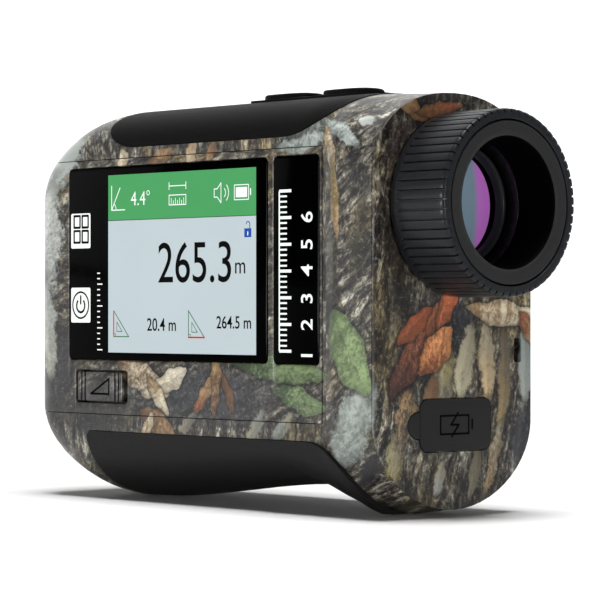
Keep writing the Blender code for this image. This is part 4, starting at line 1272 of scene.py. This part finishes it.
def display_picture():
    glass_y = PANEL_Y
    screen_low, screen_high = (-29.4, 26.15), (10.9, 57.75)
    header_z = 49.65
    ground_y = glass_y - 0.03
    line_y = glass_y - 0.05
    layers = {
        "display_ground": (lit("display_ground", shade(199, 212, 217), 0.72), bmesh.new()),
        "display_header": (lit("display_header", shade(81, 167, 102), 0.72), bmesh.new()),
        "display_digits": (lit("display_ink", shade(16, 13, 13), 0.1), bmesh.new()),
        "display_white_marks": (lit("display_white", shade(244, 250, 246), 0.9), bmesh.new()),
        "display_blue_mark": (lit("display_blue", shade(34, 84, 178), 0.7), bmesh.new()),
        "display_green_marks": (lit("display_green", shade(52, 128, 74), 0.6), bmesh.new()),
        "display_red_marks": (lit("display_red", shade(206, 44, 40), 0.7), bmesh.new()),
    }
    ground = layers["display_ground"][1]
    header = layers["display_header"][1]
    ink = layers["display_digits"][1]
    white = layers["display_white_marks"][1]
    blue = layers["display_blue_mark"][1]
    green = layers["display_green_marks"][1]
    red = layers["display_red_marks"][1]
    (u0, v0), (u1, v1) = screen_low, screen_high
    flat_plate(ground, [(u0, v0), (u1, v0), (u1, header_z), (u0, header_z)], ground_y, 0.02)
    flat_plate(header, [(u0, header_z), (u1, header_z), (u1, v1), (u0, v1)], ground_y, 0.02)
    strokes(ink, [(u0, header_z), (u1, header_z)], 0.1, line_y, 0.01, False)

    # header marks: angle, its value, ruler, loudspeaker and battery
    strokes(white, [(-28.4, 55.8), (-28.4, 51.5), (-24.6, 51.5)], 0.18, line_y, 0.01)
    strokes(white, [(-28.4, 51.5), (-26.0, 55.4)], 0.18, line_y, 0.01)
    strokes(white, arc(-28.4, 51.5, 1.3, 0, 58, 8), 0.14, line_y, 0.01, False)
    write(white, "4.4°", -22.9, 52.2, 2.6, 0.98, line_y, bold=-0.008)
    strokes(white, [(-12.2, 55.3), (-7.6, 55.3)], 0.16, line_y, 0.01)
    for x in (-12.2, -7.6):
        strokes(white, [(x, 54.7), (x, 55.9)], 0.16, line_y, 0.01)
    ruler = [(-12.2, 52.0), (-7.6, 52.0), (-7.6, 53.7), (-12.2, 53.7), (-12.2, 52.0)]
    strokes(white, ruler, 0.16, line_y, 0.01)
    for k in range(7):
        x = -11.6 + 0.57 * k
        strokes(white, [(x, 52.1), (x, 52.8 if k % 2 else 53.2)], 0.13, line_y, 0.01, False)
    cone = [(0.0, 53.0), (0.8, 53.0), (1.8, 52.0), (1.8, 55.4), (0.8, 54.4), (0.0, 54.4), (0.0, 53.0)]
    strokes(white, cone, 0.16, line_y, 0.01)
    for radius in (1.0, 1.8):
        strokes(white, arc(2.0, 53.7, radius, -48, 48, 10), 0.16, line_y, 0.01, False)
    flat_plate(white, [(5.7, 52.8), (8.6, 52.8), (8.6, 54.5), (5.7, 54.5)], line_y, 0.01)
    strokes(white, [(5.3, 52.4), (9.0, 52.4), (9.0, 54.9), (5.3, 54.9), (5.3, 52.4)], 0.15, line_y, 0.01)
    strokes(white, [(9.5, 53.2), (9.5, 54.1)], 0.28, line_y, 0.01)

    # open padlock
    flat_plate(blue, [(7.9, 46.0), (9.7, 46.0), (9.7, 47.5), (7.9, 47.5)], line_y, 0.01)
    shackle = [(9.3, 47.5), (9.3, 48.2)] + arc(8.85, 48.2, 0.45, 0, 180, 10)
    strokes(blue, shackle, 0.19, line_y, 0.01, False)
    strokes(white, [(8.8, 46.4), (8.8, 46.9)], 0.22, line_y - 0.01, 0.01)

    # readings
    write(ink, "265.3", -15.2, 38.55, 7.3, 0.93, line_y, bold=0.002)
    write(ink, "m", 5.5, 39.9, 3.0, 0.98, line_y)
    write(ink, "20.4 m", -18.3, 30.1, 2.3, 0.94, line_y, bold=0.008)
    write(ink, "264.5 m", 0.6, 30.6, 2.2, 0.94, line_y, bold=0.008)
    for x, upright in ((-27.8, True), (-6.9, False)):
        corners = [(x, 29.0), (x, 33.6), (x + 4.3, 29.0), (x, 29.0)]
        strokes(green, corners, 0.17, line_y, 0.01)
        inner = [(x + 0.9, 29.9), (x + 0.9, 31.6), (x + 2.4, 29.9), (x + 0.9, 29.9)]
        strokes(green, inner, 0.13, line_y, 0.01)
        strokes(green, [(x, 29.5), (x + 0.5, 29.5), (x + 0.5, 29.0)], 0.12, line_y, 0.01)
        end = (x, 33.2) if upright else (x + 4.3, 29.0)
        strokes(red, [(x, 29.0), end], 0.26, line_y - 0.004, 0.01)

    # touch keys and a small scale in the black border
    for middle in (48.0, 34.6):
        key = rounded_outline((-40.3, middle - 3.15), (-34.6, middle + 3.15), 0.35, 4)
        flat_plate(white, key, line_y, 0.01)
    for z in (45.9, 48.6):
        for x in (-39.4, -37.0):
            flat_ring(ink, (x, z), (x + 1.75, z + 2.1), 0.42, line_y - 0.02)
    strokes(ink, arc(-37.45, 34.6, 2.35, 0, 360, 40), 0.34, line_y - 0.02, 0.01, False)
    strokes(ink, arc(-37.45, 34.5, 1.2, 130, 410, 24), 0.42, line_y - 0.02, 0.01, False)
    strokes(ink, [(-37.45, 34.9), (-37.45, 36.2)], 0.42, line_y - 0.02, 0.01)
    for k in range(15):
        z = 26.6 + 0.98 * k
        reach = 1.5 if k % 4 == 0 else 0.8
        strokes(white, [(-32.6, z), (-32.6 + reach, z)], 0.22, line_y, 0.01, False)
    label_scale(white)
    for name, (finish, bm) in layers.items():
        made = mesh_object(name, bm)
        dress(made, finish, "housing")


def flat_ring(bm, low, high, width, outer_y):
    corners = [low, (high[0], low[1]), high, (low[0], high[1]), low]
    strokes(bm, corners, width, outer_y, 0.01)


def label_scale(bm):
    """Plain distance scale along the side label: ticks and the numbers of a dial."""
    low, high = node_box("side_label_plate")
    face_y = low[1] - 0.03
    base_x = low[0] + 1.5
    start = low[2] + 2.2
    pitch = (high[2] - low[2] - 8.0) / 30
    for k in range(31):
        z = start + pitch * k
        long_tick = k % 5 == 0
        reach = 3.0 if long_tick else 1.9
        strokes(bm, [(base_x, z), (base_x + reach, z)], 0.5 if long_tick else 0.3, face_y, 0.02, False)
    strokes(bm, [(base_x, start), (base_x, start + pitch * 30)], 0.3, face_y, 0.02, False)
    for k in range(6):
        z = start + pitch * 5 * k
        write(bm, str(k + 1), base_x + 8.2, z - 0.9, 2.9, 1.0, face_y, turn=90.0, bold=0.01)


# Inner CAD pieces keep their shape and get a finish by material slot --------------------------------

def inner_pieces():
    finishes = {
        "steel": steel, "lens_tube": anodised, "circuit_board": board_green, "battery_wrap": wrap_blue,
        "flex_film": film, "coated_glass": inner_glass,
        "display": lit("display_back", shade(150, 160, 165), 0.1),
        "black_plastic": dark_plastic, "soft_grip": grip, "gloss_black": gloss, "camo_shell": camo_rim,
    }
    slots = {row["node"]: row["material_slot"] for row in frame["record"]["subparts"]}
    for name, item in frame["nodes"].items():
        finish = finishes[slots[name]]
        item.data.materials.clear()
        item.data.materials.append(finish)


# Studio ------------------------------------------------------------------------------------------

def sun(name, toward, power, spread):
    """Soft far light; toward is the direction it comes from, spread its width in degrees."""
    lamp = bpy.data.lights.new(name, "SUN")
    lamp.energy = power
    lamp.angle = math.radians(spread)
    made = bpy.data.objects.new(name, lamp)
    made.rotation_euler = (-Vector(toward)).to_track_quat("-Z", "Y").to_euler()
    bpy.context.scene.collection.objects.link(made)
    return made


VIEW_AZIMUTH = 48.2
VIEW_PLACE = (0.3676, -0.3258, 0.0339)
VIEW_LENS = 168.6
VIEW_SHIFT = 0.015


def studio():
    """Pale floor and wall, three soft far lights and the camera."""
    azimuth = math.radians(VIEW_AZIMUTH)
    floor = bmesh.new()
    bmesh.ops.create_grid(floor, x_segments=8, y_segments=8, size=900.0)
    ground = mesh_object("studio_floor", floor)
    ground.location.z = -0.0002
    paper, shader, g = new_material("studio_paper", 0.85, 0.1)
    fibre = g.noise(g.place_mm(), 0.2, 3.0)
    low, high = (0.86, 0.86, 0.86, 1.0), (0.88, 0.88, 0.88, 1.0)
    g.feed(shader.inputs["Base Color"], g.mix(g.band(fibre, 0.3, 0.7), low, high))
    ground.data.materials.append(paper)

    world = bpy.data.worlds.new("studio_world")
    bpy.context.scene.world = world
    world.use_nodes = True
    world.node_tree.nodes["Background"].inputs["Color"].default_value = (1.0, 1.0, 1.0, 1.0)
    world.node_tree.nodes["Background"].inputs["Strength"].default_value = 0.03

    sun("key", (-0.35, -0.75, 0.02), 1.55, 9.0)
    sun("top", (0.1, -0.02, 1.0), 3.9, 28.0)
    sun("rear", (0.95, -0.3, 0.02), 1.35, 9.0)
    wall = mesh_object("studio_wall", box((-2500.0, 900.0, -5.0), (2500.0, 905.0, 2600.0)))
    wall.rotation_euler.z = azimuth
    wall.visible_diffuse = False
    wall.visible_shadow = False
    glow, shader, g = new_material("studio_wall_paint", 0.9, 0.0)
    shader.inputs["Base Color"].default_value = (0.3, 0.3, 0.3, 1.0)
    shader.inputs["Emission Color"].default_value = (1.0, 1.0, 1.0, 1.0)
    shader.inputs["Emission Strength"].default_value = 0.95
    wall.data.materials.append(glow)

    camera = bpy.data.objects.new("camera", bpy.data.cameras.new("camera"))
    camera.data.sensor_width = 36.0
    camera.data.lens = VIEW_LENS
    camera.data.shift_y = VIEW_SHIFT
    camera.location = VIEW_PLACE
    ahead = Vector((-math.sin(azimuth), math.cos(azimuth), 0.0))
    camera.rotation_euler = ahead.to_track_quat("-Z", "Y").to_euler()
    camera.data.clip_start = 0.01
    camera.data.clip_end = 10.0
    bpy.context.scene.collection.objects.link(camera)
    bpy.context.scene.camera = camera
    bpy.context.scene.view_settings.view_transform = "Standard"


def build():
    inner_pieces()
    shells()
    pads()
    bezel()
    front_optics()
    eyepiece()
    for name in ("measure_button", "mode_button"):
        button(name)
    slope_slider()
    charging_cover()
    plates()
    display_picture()
    studio()


build()
bpy.context.view_layer.update()
